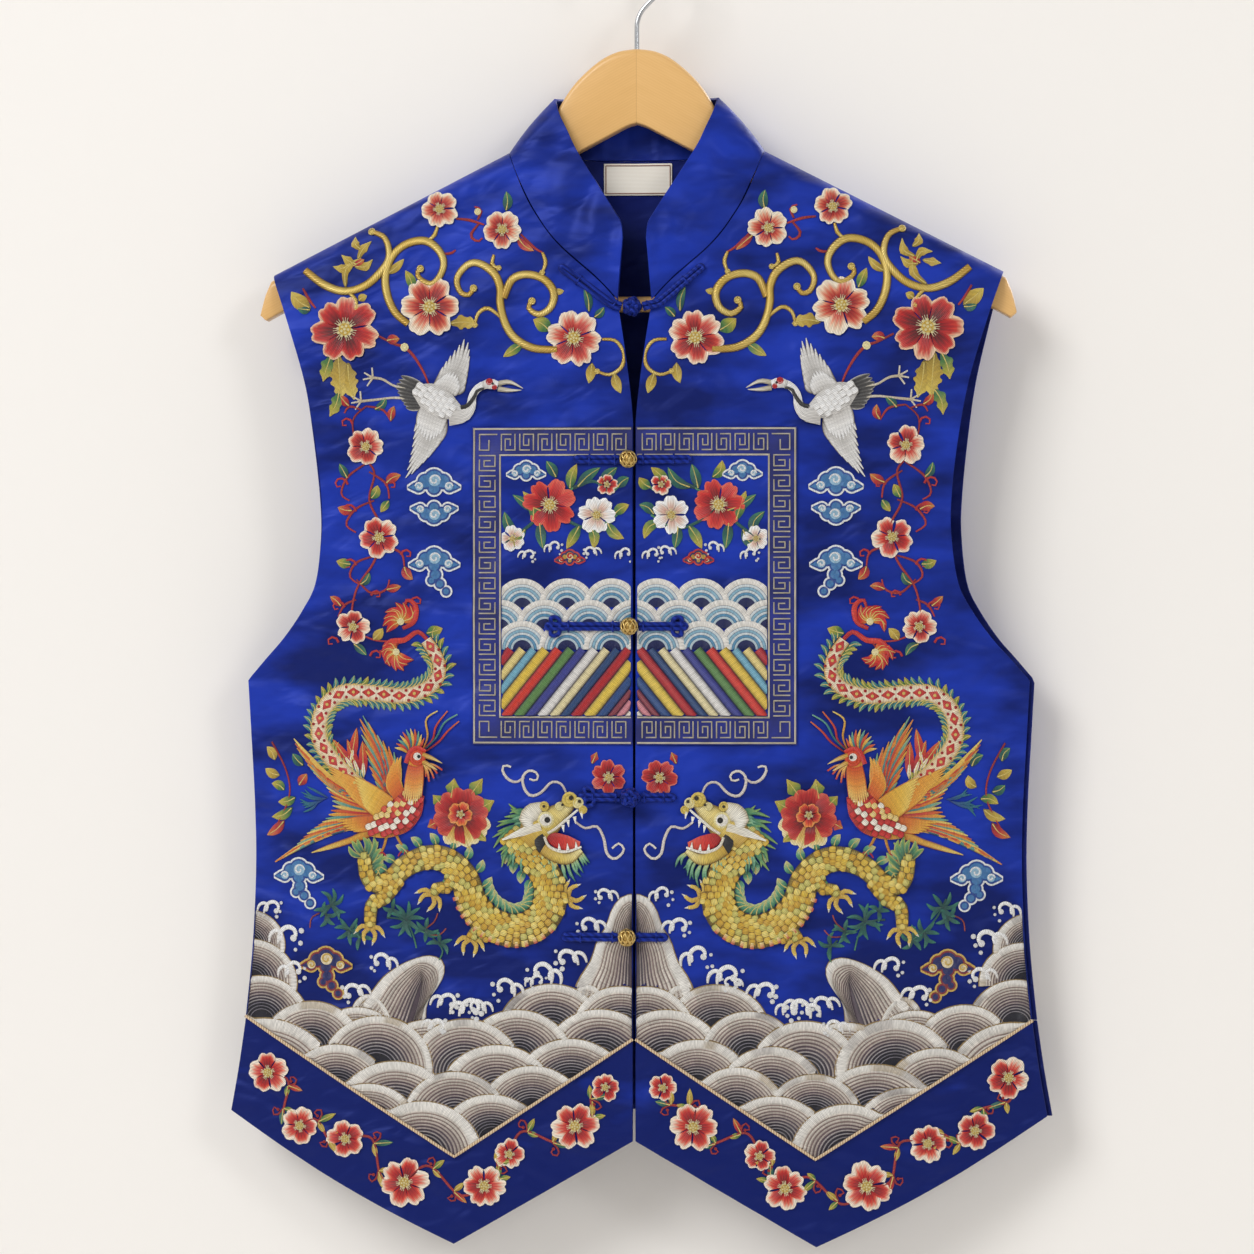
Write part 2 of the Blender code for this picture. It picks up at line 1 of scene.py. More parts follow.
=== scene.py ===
# %% [markdown]
# An embroidered satin vest on its wooden hanger
#
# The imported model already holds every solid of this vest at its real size. This script
# dresses it: satin with the puckers that needlework pulls into it, silk and gold thread
# raised above the cloth, cord closures, brass balls and a varnished beech hanger.
# All lengths below are millimetres in the garment's own frame and become metres through MM.

# %% Load the frame
import math
import random
from collections import namedtuple

import bmesh
import bpy
import numpy as np
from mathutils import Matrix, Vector


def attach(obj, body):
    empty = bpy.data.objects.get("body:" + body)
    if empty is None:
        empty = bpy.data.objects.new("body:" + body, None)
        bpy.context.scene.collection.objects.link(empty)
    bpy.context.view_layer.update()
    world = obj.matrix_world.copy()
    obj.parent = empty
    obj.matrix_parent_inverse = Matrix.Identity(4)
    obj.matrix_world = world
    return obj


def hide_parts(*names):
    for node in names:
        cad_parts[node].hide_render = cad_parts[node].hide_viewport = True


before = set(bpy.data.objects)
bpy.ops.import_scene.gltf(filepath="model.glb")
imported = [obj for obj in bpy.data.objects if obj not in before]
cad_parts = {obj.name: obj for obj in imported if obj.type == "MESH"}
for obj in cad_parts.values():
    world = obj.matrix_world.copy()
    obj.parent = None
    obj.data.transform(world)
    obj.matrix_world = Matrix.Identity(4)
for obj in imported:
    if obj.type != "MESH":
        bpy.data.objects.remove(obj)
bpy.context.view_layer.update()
MM = 0.001
print("nodes in the frame:", len(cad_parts))

# %% [markdown]
# The camera comes first. The photograph looks straight at the vest from a little to the
# viewer's right, so that a sliver of the back shows past the right armhole. One pixel of
# the picture is 0.59 mm on the vest, which with the distance gives the angle of view.

# %% Camera
PICTURE = 1254
PIXEL = 0.59            # millimetres on the vest for one picture pixel
DISTANCE = 2300.0
YAW = math.radians(3.5)
AIM = Vector((-4.1, -30, -412.2))

camera_data = bpy.data.cameras.new("camera")
camera_data.sensor_width = 36.0
camera_data.lens = 36.0 * DISTANCE / (PICTURE * PIXEL)
camera = bpy.data.objects.new("camera", camera_data)
bpy.context.scene.collection.objects.link(camera)
away = Vector((math.sin(YAW), -math.cos(YAW), 0.0))
camera.location = (AIM + away * DISTANCE) * MM
camera.rotation_euler = (math.radians(90.0), 0.0, YAW)
bpy.context.scene.camera = camera
print("lens", round(camera_data.lens, 1), "mm")

# %% [markdown]
# The wall behind is warm off-white and close, so the vest throws a short soft shadow to
# the lower right. The wall is seen only from its front: from behind it lets the view
# through to the vest's back. A pale floor lies well below the hem.

# %% Helpers for materials
def linear(hex_colour):
    """An sRGB hex colour as linear values with full alpha."""
    channels = [int(hex_colour[start:start + 2], 16) / 255 for start in (1, 3, 5)]
    return [c / 12.92 if c <= 0.04045 else ((c + 0.055) / 1.055) ** 2.4 for c in channels] + [1.0]


def add_node(tree, kind, inputs=None, **settings):
    """Add a shader node with its settings; an input given as a node or a socket is linked."""
    node = tree.nodes.new("ShaderNode" + kind)
    for key, value in settings.items():
        setattr(node, key, value)
    for key, value in (inputs or {}).items():
        if isinstance(value, bpy.types.Node):
            value = value.outputs[0]
        if isinstance(value, bpy.types.NodeSocket):
            tree.links.new(value, node.inputs[key])
        else:
            node.inputs[key].default_value = value
    return node


def new_material(name):
    """A material and its empty tree."""
    paint = bpy.data.materials.new(name)
    paint.use_nodes = True
    paint.node_tree.nodes.clear()
    return paint, paint.node_tree


def place_on(tree):
    """The place on the object, in metres."""
    return add_node(tree, "TexCoord").outputs["Object"]


def coated(paint, inputs, kind="BsdfPrincipled"):
    """The material, closed with its surface shader."""
    surface = add_node(paint.node_tree, kind, inputs)
    add_node(paint.node_tree, "OutputMaterial", {"Surface": surface})
    return paint


def bump(tree, strength, distance, height, **more):
    return add_node(tree, "Bump", {
        "Strength": strength, "Distance": distance, "Height": height, **more})


def ramp(tree, factor, stops):
    """A colour ramp through (position, hex colour) stops."""
    node = add_node(tree, "ValToRGB", {"Fac": factor})
    while len(node.color_ramp.elements) < len(stops):
        node.color_ramp.elements.new(1.0)
    for element, (position, colour) in zip(node.color_ramp.elements, stops):
        element.position = position
        element.color = linear(colour)
    return node.outputs["Color"]


def ribbed(tree, place, spacing, direction, **more):
    """Ribs from a Wave texture whose bands repeat at a real spacing, in millimetres."""
    return add_node(tree, "TexWave", {
        "Vector": place, "Scale": math.tau / 20.0 / (spacing * MM), **more},
        bands_direction=direction).outputs["Fac"]


def woven_material(name, spacing, direction, stops, strength, distance, finish, **wave):
    """Cord or weave: one rib texture gives both its colours and its relief."""
    paint, tree = new_material(name)
    place = place_on(tree)
    ribs = ribbed(tree, place, spacing, direction, **wave)
    return coated(paint, {"Base Color": ramp(tree, ribs, stops),
                          "Normal": bump(tree, strength, distance, ribs), **finish})


# %% Wall, floor and lights
def stage_material():
    paint, tree = new_material("matt wall paint")
    side = add_node(tree, "NewGeometry").outputs["Backfacing"]
    return coated(paint, {
        0: side, 1: add_node(tree, "BsdfDiffuse", {"Color": linear("#F1EEEA")}),
        2: add_node(tree, "BsdfTransparent")}, "MixShader")


WALL_Y = 33.0
FLOOR_Z = -1500.0


def stage_plane(name, size, location, tilt):
    shape = bmesh.new()
    bmesh.ops.create_grid(shape, x_segments=1, y_segments=1, size=size)
    mesh = bpy.data.meshes.new(name)
    shape.to_mesh(mesh)
    shape.free()
    plane = bpy.data.objects.new(name, mesh)
    plane.location = location
    plane.rotation_euler = (tilt, 0, 0)
    mesh.materials.append(stage_paint)
    bpy.context.scene.collection.objects.link(plane)
    return plane


stage_paint = stage_material()
backdrop = stage_plane("backdrop", 6.0, (0.0, WALL_Y * MM, 0.0), math.radians(90.0))
backdrop.visible_shadow = False     # lets the light behind reach the back of the vest
stage_plane("floor", 6.0, (0.0, 0.0, FLOOR_Z * MM), 0.0)


def soft_light(name, place, size, watts):
    """A square area light that looks at the middle of the vest."""
    data = bpy.data.lights.new(name, "AREA")
    data.size = size
    data.energy = watts
    lamp = bpy.data.objects.new(name, data)
    lamp.location = place
    aim = Vector((0, 0, -0.42)) - Vector(place)
    lamp.rotation_euler = aim.to_track_quat("-Z", "Y").to_euler()
    bpy.context.scene.collection.objects.link(lamp)


soft_light("key", (-2.4, -3.4, 2.2), 2.1, 120.0)
soft_light("fill", (2.6, -3.4, 1.2), 1.0, 26.0)
soft_light("back_key", (1.6, 1.8, 0.9), 1.0, 32.0)
world = bpy.data.worlds.new("pale room")
world.use_nodes = True
world.node_tree.nodes["Background"].inputs["Color"].default_value = linear("#F2F1F0")
world.node_tree.nodes["Background"].inputs["Strength"].default_value = 0.5
bpy.context.scene.world = world
bpy.context.scene.view_settings.view_transform = "Standard"   # dyes keep their hex colours
print("stage and lights ready")

# %% [markdown]
# The vest's outline repeats the sizes of the model's source: half outlines with the
# distance out from the centre line and the height below the hook. Smooth curves run
# through them, and a panel is the patch between its four edges.

# %% Outline of the vest
Spot = namedtuple("Spot", "out z")
NECK_FRONT = (
    Spot(10.2, -219.2), Spot(21.8, -206.6), Spot(45.8, -185),
    Spot(59.5, -166.6), Spot(68, -150.5), Spot(76.5, -128.5),
)
NECK_BACK = (Spot(0, -132.5), Spot(30, -132), Spot(58, -130.4), Spot(76.5, -128.5))
NECK_POINT = NECK_FRONT[-1]
SHOULDER_TIP = Spot(218.2, -201.0)
ARMHOLE = (
    SHOULDER_TIP, Spot(208.5, -229), Spot(197.4, -266), Spot(191, -300),
    Spot(187.2, -332.4), Spot(186.8, -357), Spot(190.9, -385.6), Spot(198.8, -401.8),
    Spot(210.7, -418.5), Spot(222.7, -431.7), Spot(233.8, -444),
)
SIDE_SEAM = (
    Spot(233.8, -444), Spot(232, -475.5), Spot(229.7, -518.6), Spot(229.1, -557.5),
    Spot(231.2, -604), Spot(235.3, -645.6),
)
BAND_SIDE = (Spot(235.3, -645.9), Spot(239.5, -675), Spot(244.3, -702.5))
BAND_TOP_CENTRE = -655.5
BAND_TOP_POINT = Spot(106.9, -726.0)
HEM_CENTRE = -716.0
HEM_POINT = Spot(107.4, -778.0)
HEM_BELLY = 4.0
GAPE_TOP = NECK_FRONT[0].z
GAPE_END = -292.0
SEAM_GAP = 0.3
FRONT_GAP = 1.5
WALL = 1.5


def smooth(points, steps=10):
    """Dense points on a Catmull-Rom curve through a few."""
    dense = []
    last = len(points) - 1
    for index in range(last):
        knots = (points[max(index - 1, 0)], points[index], points[index + 1],
                 points[min(index + 2, last)])
        for step in range(steps):
            f = step / steps
            dense.append([
                0.5 * (2 * b + (c - a) * f + (2 * a - 5 * b + 4 * c - d) * f ** 2
                       + (3 * b - a - 3 * c + d) * f ** 3)
                for a, b, c, d in zip(*knots)])
    dense.append(list(points[last]))
    return np.array(dense, dtype=float)


def along(points):
    """A function from fractions of a line's length to its points."""
    points = np.asarray(points, dtype=float)
    steps = np.linalg.norm(np.diff(points, axis=0), axis=1)
    lengths = np.concatenate([[0.0], np.cumsum(steps)])

    def points_at(fractions):
        wanted = np.clip(fractions, 0.0, 1.0) * lengths[-1]
        return np.stack([np.interp(wanted, lengths, column) for column in points.T], axis=-1)

    return points_at


def joined(first, second, share):
    """One line out of two: `first` up to `share` of the way, then `second`."""
    def points_at(fractions):
        f = np.asarray(fractions, dtype=float)
        early = first(f / share)
        late = second((f - share) / (1.0 - share))
        return np.where((f <= share)[..., None], early, late)
    return points_at


armhole_line = along(smooth(ARMHOLE))
side_line = along(smooth(SIDE_SEAM))
band_side_line = along(smooth(BAND_SIDE))
neck_front_line = along(smooth(NECK_FRONT))
neck_back_line = along(smooth(NECK_BACK))
shoulder_line = along([NECK_POINT, SHOULDER_TIP])
edge_points = np.vstack([smooth(ARMHOLE), smooth(SIDE_SEAM)[1:], smooth(BAND_SIDE)[1:]])
print("outline points along one side:", len(edge_points))

# %% [markdown]
# Depth comes next. The cloth rolls over the hanger's arm, fills out to its full depth
# within a hand's width and turns in to the side seams. The largest folds are the ones
# in the model's source. Needlework also draws the satin into short, mostly level
# puckers, and loose cloth sags between them: those are listed in a table of
# creases and, close to the stitching, scattered from a seeded draw.

# %% Depth of the cloth
FRONT_DEPTH = 28.0
BACK_DEPTH = 20.0
ROLL_RADIUS = 10.0
FILL_OUT = 90.0
EDGE_POWER = 2.6
SEAM_STAND = 1.65
BACK_ARM_EXTRA = 5.5
BACK_SHOWS = {-1: 0.3, 1: 3.0}
SHOULDER_SLOPE = (NECK_POINT.z - SHOULDER_TIP.z) / (SHOULDER_TIP.out - NECK_POINT.out)
Stand = namedtuple("Stand", "z share")
ARMHOLE_STANDS = (
    Stand(-444, 0), Stand(-425, 0.3), Stand(-400, 0.56),
    Stand(-360, 0.74), Stand(-300, 0.86), Stand(-230, 1),
)
Fold = namedtuple("Fold", "x z angle length width height")   # what each row below gives
FRONT_FOLDS = (
    (-160, -300, -20, 50, 15, 1.8), (-158, -352, 4, 46, 14, 2.2), (-166, -402, -12, 55, 15, 2.4),
    (-160, -462, 12, 42, 14, -1.8), (-60, -520, 6, 55, 13, 1.6), (-200, -590, 78, 60, 16, 2.2),
    (158, -318, 16, 48, 15, 2), (156, -372, -8, 50, 14, 2.2), (172, -424, 18, 55, 15, 2.2),
    (158, -478, -10, 42, 14, -1.8), (58, -540, -6, 55, 13, 1.6), (202, -560, 100, 60, 16, 2.2),
)
BACK_FOLDS = (
    (-92, -330, 84, 120, 22, 2.6), (74, -380, 97, 140, 24, 2.8), (-150, -470, 62, 70, 18, 2.2),
    (158, -450, 118, 70, 18, 2.2), (-24, -560, 88, 110, 22, -2), (120, -610, 92, 80, 20, 2),
)
# Creases one by one: drag lines at the armholes, level sags under the badge and the collar.
FRONT_CREASES = (
    (-182, -318, -8, 26, 3.6, 1.1), (-176, -334, 4, 34, 3.2, -1), (-178, -372, 8, 30, 3.4, 1.2),
    (-172, -386, -2, 36, 3, -0.9), (-190, -420, -24, 34, 4, 1.2), (-205, -446, -32, 30, 3.6, -1),
    (-196, -470, 10, 36, 4.2, 1), (-210, -520, 72, 40, 4, 1), (-120, -290, -14, 40, 4.4, 0.8),
    (-104, -344, 3, 22, 3.4, -0.8), (-110, -404, -5, 24, 3.4, 0.9), (-106, -448, 6, 26, 3.2, -0.8),
    (-70, -498, 2, 44, 3.8, 1), (-40, -512, -6, 36, 3.4, -0.9), (-96, -528, 10, 34, 4, 0.9),
    (-52, -548, -3, 40, 3.6, 0.8), (-128, -600, 12, 38, 4.2, -0.9), (-60, -622, -8, 34, 3.8, 0.9),
    (-150, -236, -26, 34, 4, 0.8), (-40, -262, 40, 30, 4, 0.9), (184, -306, 12, 28, 3.6, 1.1),
    (176, -330, 2, 34, 3.2, -1), (174, -346, -6, 32, 3.2, 1), (178, -382, -10, 30, 3.4, 1.1),
    (186, -410, 22, 34, 4, -1.1), (204, -438, 34, 32, 3.6, 1.1), (198, -486, -12, 36, 4.2, 1),
    (212, -540, 104, 42, 4, 1), (118, -284, 12, 40, 4.4, 0.8), (106, -360, -4, 22, 3.4, -0.8),
    (110, -418, 6, 24, 3.4, 0.9), (108, -462, -4, 26, 3.2, -0.8), (66, -500, -3, 44, 3.8, 1),
    (36, -520, 6, 36, 3.4, -0.9), (100, -534, -12, 34, 4, 0.9), (48, -556, 4, 40, 3.6, 0.8),
    (132, -596, -10, 38, 4.2, -0.9), (62, -630, 8, 34, 3.8, 0.9), (148, -232, 28, 34, 4, 0.8),
    (40, -266, -38, 30, 4, 0.9),
)
BACK_CREASES = (
    (-186, -330, -6, 30, 4, 1.1), (184, -350, 8, 32, 4, 1.1), (-120, -250, 30, 46, 5, 1),
    (112, -262, -34, 48, 5, 1), (0, -180, 4, 50, 5, -0.9), (-60, -470, 12, 50, 6, 1),
    (70, -520, -14, 54, 6, 1), (-180, -540, 74, 50, 5, 1.1), (186, -560, 104, 50, 5, 1.1),
    (-20, -640, 5, 60, 5, -0.9),
)
Puckers = namedtuple("Puckers", "count length width height tilt")
FRONT_PUCKERS = Puckers(560, 13.0, 5.2, 0.95, 24.0)
BACK_PUCKERS = Puckers(300, 18.0, 6.0, 0.9, 60.0)
CREASE_DEPTH = 1.7      # the satin is stiff, so its creases stand up well
MAP_STEP = 1.5
MAP_LEFT = -252.0
MAP_TOP = -120.0
MAP_SHAPE = (446, 337)  # rows down, columns across


def add_fold(relief, fold):
    """Add one soft ridge or trough to a relief map, close to where it lies."""
    reach = 2.6 * max(fold.length, fold.width)
    rows, columns = MAP_SHAPE
    first_row = max(int((MAP_TOP - fold.z - reach) / MAP_STEP), 0)
    last_row = min(int((MAP_TOP - fold.z + reach) / MAP_STEP) + 1, rows)
    first_column = max(int((fold.x - MAP_LEFT - reach) / MAP_STEP), 0)
    last_column = min(int((fold.x - MAP_LEFT + reach) / MAP_STEP) + 1, columns)
    if first_row >= last_row or first_column >= last_column:
        return
    up = (MAP_TOP - MAP_STEP * np.arange(first_row, last_row) - fold.z)[:, None]
    right = (MAP_LEFT + MAP_STEP * np.arange(first_column, last_column) - fold.x)[None, :]
    turn = math.radians(fold.angle)
    run = (right * math.cos(turn) + up * math.sin(turn)) / fold.length
    across = (up * math.cos(turn) - right * math.sin(turn)) / fold.width
    relief[first_row:last_row, first_column:last_column] += (
        fold.height * np.exp(-run * run - across * across))


def relief_map(folds, creases, puckers, seed):
    relief = np.zeros(MAP_SHAPE)
    draw = random.Random(seed)
    for fold in folds:
        add_fold(relief, Fold(*fold))
    for *place, height in creases:
        add_fold(relief, Fold(*place, height * CREASE_DEPTH))
    for _ in range(puckers.count):
        add_fold(relief, Fold(
            draw.uniform(-235.0, 235.0), draw.uniform(-150.0, -770.0),
            draw.gauss(0.0, puckers.tilt), puckers.length * draw.uniform(0.5, 1.5),
            puckers.width * draw.uniform(0.7, 1.5), puckers.height * draw.uniform(-1.0, 1.0)))
    return relief


front_relief = relief_map(FRONT_FOLDS, FRONT_CREASES, FRONT_PUCKERS, 7)
back_relief = relief_map(BACK_FOLDS, BACK_CREASES, BACK_PUCKERS, 11)


def read_map(relief, x, z):
    """Bilinear reading of a relief map."""
    row = np.clip((MAP_TOP - z) / MAP_STEP, 0.0, MAP_SHAPE[0] - 1.001)
    column = np.clip((x - MAP_LEFT) / MAP_STEP, 0.0, MAP_SHAPE[1] - 1.001)
    r, c = row.astype(int), column.astype(int)
    fr, fc = row - r, column - c
    top = relief[r, c] * (1 - fc) + relief[r, c + 1] * fc
    bottom = relief[r + 1, c] * (1 - fc) + relief[r + 1, c + 1] * fc
    return top * (1 - fr) + bottom * fr


def edge_at(z):
    """Distance out to the front's side edge at a height."""
    return np.interp(-z, -edge_points[:, 1], edge_points[:, 0])


def back_extra(z, side):
    """How far the back's side edge stands outside the front's."""
    under_arm = ARMHOLE[-1].z
    share = np.clip((SHOULDER_TIP.z - z) / (SHOULDER_TIP.z - under_arm), 0.0, 1.0)
    shows = np.where(side < 0, BACK_SHOWS[-1], BACK_SHOWS[1])
    return BACK_ARM_EXTRA * np.sin(np.pi * share) + shows * share


def cloth_depth(x, z, full, edge_out, relief):
    """How far the outer face stands from the hanger's mid-plane."""
    fall = np.maximum(NECK_POINT.z - SHOULDER_SLOPE * (np.abs(x) - NECK_POINT.out) - z, 0.0)
    turn = np.minimum(fall / ROLL_RADIUS, 1.0)
    rolled = ROLL_RADIUS * np.sqrt(turn * (2.0 - turn))
    middle = rolled + (full - ROLL_RADIUS) * (1.0 - np.exp(-fall / FILL_OUT))
    heights, shares = zip(*ARMHOLE_STANDS)
    stand = np.interp(z, heights, shares)
    edge = middle * stand + SEAM_STAND * (1.0 - stand)
    share = np.minimum(np.abs(x) / edge_out, 1.0) ** EDGE_POWER
    folded = read_map(relief, x, z) * np.minimum(fall / 40.0, 1.0) * (1.0 - share ** 2)
    return middle * (1.0 - share) + edge * share + folded + SEAM_GAP / 2


def front_y(x, z, lift=0.0):
    x, z = np.asarray(x, dtype=float), np.asarray(z, dtype=float)
    return -cloth_depth(x, z, FRONT_DEPTH, edge_at(z), front_relief) - lift


def back_y(x, z, lift=0.0):
    x, z = np.asarray(x, dtype=float), np.asarray(z, dtype=float)
    edge = edge_at(z) + back_extra(z, np.sign(x))
    return cloth_depth(x, z, BACK_DEPTH, edge, back_relief) + lift


print("front depth at the chest:", round(float(-front_y(0.0, -400.0)), 1), "mm")

# %% [markdown]
# Satin is a warp-faced silk or rayon weave: long floats lie side by side, so the cloth
# shines softly and its folds show as broad pale bands. A mid roughness with a pale sheen
# gives that, with broad patches of paler and darker blue as painted sheen and painted
# shade, and painted shade that darkens the blue toward the hem. The yarns are far too fine
# to show, so the ribs are drawn at 0.9 mm.

# %% Satin
SATIN_RIB = 0.9
PAINTED_SHADE_BELOW = 0.52     # metres down, where painted shade begins to darken the blue toward the hem
CRUMPLES = ((64, 27, 14, 9), (27, 12, -20, 3.6))  # length, width, slant, depth


def satin_material(name, dark, pale, shine):
    """Satin crumpled in broad and small waves over fine ribs; painted sheen and shade, more shade at
    the hem.
    """
    paint, tree = new_material(name)
    place = place_on(tree)
    height = add_node(tree, "SeparateXYZ", {"Vector": place}).outputs["Z"]
    # Below that height the blue darkens more and more: painted shade toward the hem.
    below = add_node(tree, "Math", {0: height, 1: 1.5, 2: 1.5 * PAINTED_SHADE_BELOW}, operation="MULTIPLY_ADD")
    painted_hem_shade = add_node(tree, "Math", {0: below, 1: 0.0}, operation="MINIMUM")
    # Broad patches of paler and darker blue: painted sheen and painted shade.
    level = add_node(tree, "Mapping", {"Vector": place, "Scale": (14.0, 14.0, 36.0)})
    painted_sheen_and_shade = add_node(tree, "TexNoise", {
        "Vector": level, "Scale": 1.0, "Detail": 3.0, "Roughness": 0.55})
    tone = add_node(tree, "Math", {0: painted_sheen_and_shade.outputs["Fac"], 1: painted_hem_shade})
    normal = bump(tree, 0.06, 0.0003, ribbed(tree, place, SATIN_RIB, "Z", Distortion=0.6))
    for length, width, slant, depth in CRUMPLES:
        slanted = add_node(tree, "Mapping", {
            "Vector": place, "Rotation": (0.0, math.radians(slant), 0.0),
            "Scale": (length * MM, length * MM, width * MM)}, vector_type="TEXTURE")
        crinkle = add_node(tree, "TexNoise", {
            "Vector": slanted, "Scale": 1.0, "Detail": 1.5, "Roughness": 0.45, "Distortion": 0.5})
        normal = bump(tree, 0.7, depth * MM, crinkle.outputs["Fac"], Normal=normal)
    return coated(paint, {
        "Base Color": ramp(tree, tone, [(0.34, dark), (0.62, pale)]), "Roughness": 0.44,
        "Specular IOR Level": shine, "Specular Tint": linear("#7C90FF"), "Sheen Weight": 0.06,
        "Sheen Roughness": 0.4, "Sheen Tint": linear("#6F86FF"), "Normal": normal})


satin = satin_material("blue satin weave", "#0B1756", "#1A33A0", 0.62)
# The lining is the same satin in darker blues: painted shade inside the vest.
lining = satin_material("lining satin darkened as painted shade", "#0D1348", "#151E62", 0.5)
print("made", satin.name, "and", lining.name)

# %% [markdown]
# A panel starts as a flat grid. Its points move to the patch between the panel's four
# edges and out to the depth of the cloth, and the grid gets the 1.5 mm wall of satin,
# interlining and lining. The walls of front and back stay parted where they meet.

# %% Panels
def finish_mesh(name, shape, paint, sharp=45.0):
    """Make an object of a bmesh, shade it smooth and let it ride on the model's body."""
    mesh = bpy.data.meshes.new(name)
    shape.to_mesh(mesh)
    shape.free()
    mesh.shade_smooth()
    mesh.set_sharp_from_angle(angle=math.radians(sharp))
    mesh.materials.append(paint)
    item = bpy.data.objects.new(name, mesh)
    bpy.context.scene.collection.objects.link(item)
    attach(item, "root")
    return item


def finish_solid(name, shape, paint, node, sharp=45.0):
    """The same for a closed shape that stands for a node of the model."""
    bmesh.ops.recalc_face_normals(shape, faces=shape.faces)
    item = finish_mesh(name, shape, paint, sharp)
    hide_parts(node)


def placed_grid(x, y, z):
    """A bmesh grid whose points go to the places in three arrays, in millimetres."""
    rows, columns = x.shape
    sheet = bmesh.new()
    bmesh.ops.create_grid(sheet, x_segments=columns - 1, y_segments=rows - 1, size=0.5)
    places = np.stack([x, y, z], axis=-1) * MM
    for vertex in sheet.verts:
        column = round((vertex.co.x + 0.5) * (columns - 1))
        row = round((0.5 - vertex.co.y) * (rows - 1))
        vertex.co = places[row, column]
    return sheet


def cloth_piece(name, x, y, z, wall, paint, turned=False, half=0):
    """A walled sheet; `half` keeps it before (-1) or behind (1) the mid-plane."""
    sheet = placed_grid(x, y, z)
    if turned:
        bmesh.ops.reverse_faces(sheet, faces=sheet.faces)
    sheet.normal_update()
    area = sum(face.calc_area() for face in sheet.faces)
    bmesh.ops.solidify(sheet, geom=sheet.faces[:], thickness=wall * MM)
    if half:
        nearest = SEAM_GAP / 2 * MM
        for vertex in sheet.verts:
            vertex.co.y = half * max(half * vertex.co.y, nearest)
        sheet.normal_update()
        # Faces turned inward take the darker lining satin: painted shade inside the vest.
        for face in sheet.faces:
            face.material_index = int(face.normal.y * half < -0.3)
    item = finish_mesh(name, sheet, paint)
    if half:
        item.data.materials.append(lining)
    soften = item.modifiers.new("turned edge", "BEVEL")
    soften.width = 0.45 * MM
    soften.segments = 2
    soften.limit_method = "ANGLE"
    soften.angle_limit = math.radians(55.0)
    print(name, "outer area", round(area, 4), "m2")
    return item, area


def patch(top, bottom, inner, outer, u, v):
    """Points inside four boundary lines (a Coons patch), rows by columns."""
    across, down = np.meshgrid(u, v)
    across, down = across[..., None], down[..., None]
    t, b = top(u)[None], bottom(u)[None]
    i, o = inner(v)[:, None], outer(v)[:, None]
    corners = (
        (1 - across) * (1 - down) * top(0.0) + across * (1 - down) * top(1.0)
        + (1 - across) * down * bottom(0.0) + across * down * bottom(1.0))
    points = (1 - down) * t + down * b + (1 - across) * i + across * o - corners
    return points[..., 0], points[..., 1]


def gape(z):
    """Half the distance between the fronts at a height."""
    share = np.clip((np.asarray(z, dtype=float) - GAPE_END) / (GAPE_TOP - GAPE_END), 0.0, 1.0)
    return FRONT_GAP / 2 + (NECK_FRONT[0].out - FRONT_GAP / 2) * share ** 1.3


def centre_front(top, bottom):
    def points_at(fractions):
        z = top + (bottom - top) * np.asarray(fractions, dtype=float)
        return np.stack([gape(z), z], axis=-1)
    return points_at


NECK_SHARE = 0.34
POINT_SHARE = 0.46
ARMHOLE_SHARE = 0.56
BACK_NECK_SHARE = 0.36


def pointed_line(centre_z, point, corner, belly=0.0):
    """From the centre front down to the hem's point and up to the side."""
    first = along([(FRONT_GAP / 2, centre_z), point])
    second = along([point, corner])

    def slope(fractions):
        points = second(fractions)
        drop = belly * np.sin(np.pi * np.clip(fractions, 0.0, 1.0))
        return points - np.stack([np.zeros_like(drop), drop], axis=-1)

    return joined(first, slope, POINT_SHARE)


band_seam = pointed_line(BAND_TOP_CENTRE, BAND_TOP_POINT, SIDE_SEAM[-1])
hem = pointed_line(HEM_CENTRE, HEM_POINT, BAND_SIDE[-1], HEM_BELLY)


def stops(*parts):
    """Fractions from 0 to 1: each part gives its end and its number of steps."""
    values = [np.zeros(1)]
    for end, steps in parts:
        values.append(np.linspace(values[-1][-1], end, steps + 1)[1:])
    return np.concatenate(values)


FRONT_COLUMNS = stops((0.30, 26), (NECK_SHARE, 10), (POINT_SHARE, 12), (1, 58))
PANEL_ROWS = stops((0.03, 9), (1, 170))
BAND_ROWS = stops((1, 22))
BACK_HALF = stops((0.30, 14), (BACK_NECK_SHARE, 7), (1, 40))
BACK_COLUMNS = np.concatenate([-BACK_HALF[:0:-1], BACK_HALF])
BACK_ROWS = stops((0.03, 9), (1, 120))


def make_front(name, side):
    top = joined(neck_front_line, shoulder_line, NECK_SHARE)
    outer = joined(armhole_line, side_line, ARMHOLE_SHARE)
    inner = centre_front(GAPE_TOP, BAND_TOP_CENTRE)
    out, z = patch(top, band_seam, inner, outer, FRONT_COLUMNS, PANEL_ROWS)
    x = side * out
    return cloth_piece(name, x, front_y(x, z), z, WALL, satin, side < 0, half=-1)


def make_front_band(name, side):
    def top(fractions):
        return band_seam(fractions) - np.array([0, SEAM_GAP])
    inner = centre_front(BAND_TOP_CENTRE - SEAM_GAP, HEM_CENTRE)
    out, z = patch(top, hem, inner, band_side_line, FRONT_COLUMNS, BAND_ROWS)
    x = side * out
    return cloth_piece(name, x, front_y(x, z), z, WALL, satin, side < 0, half=-1)


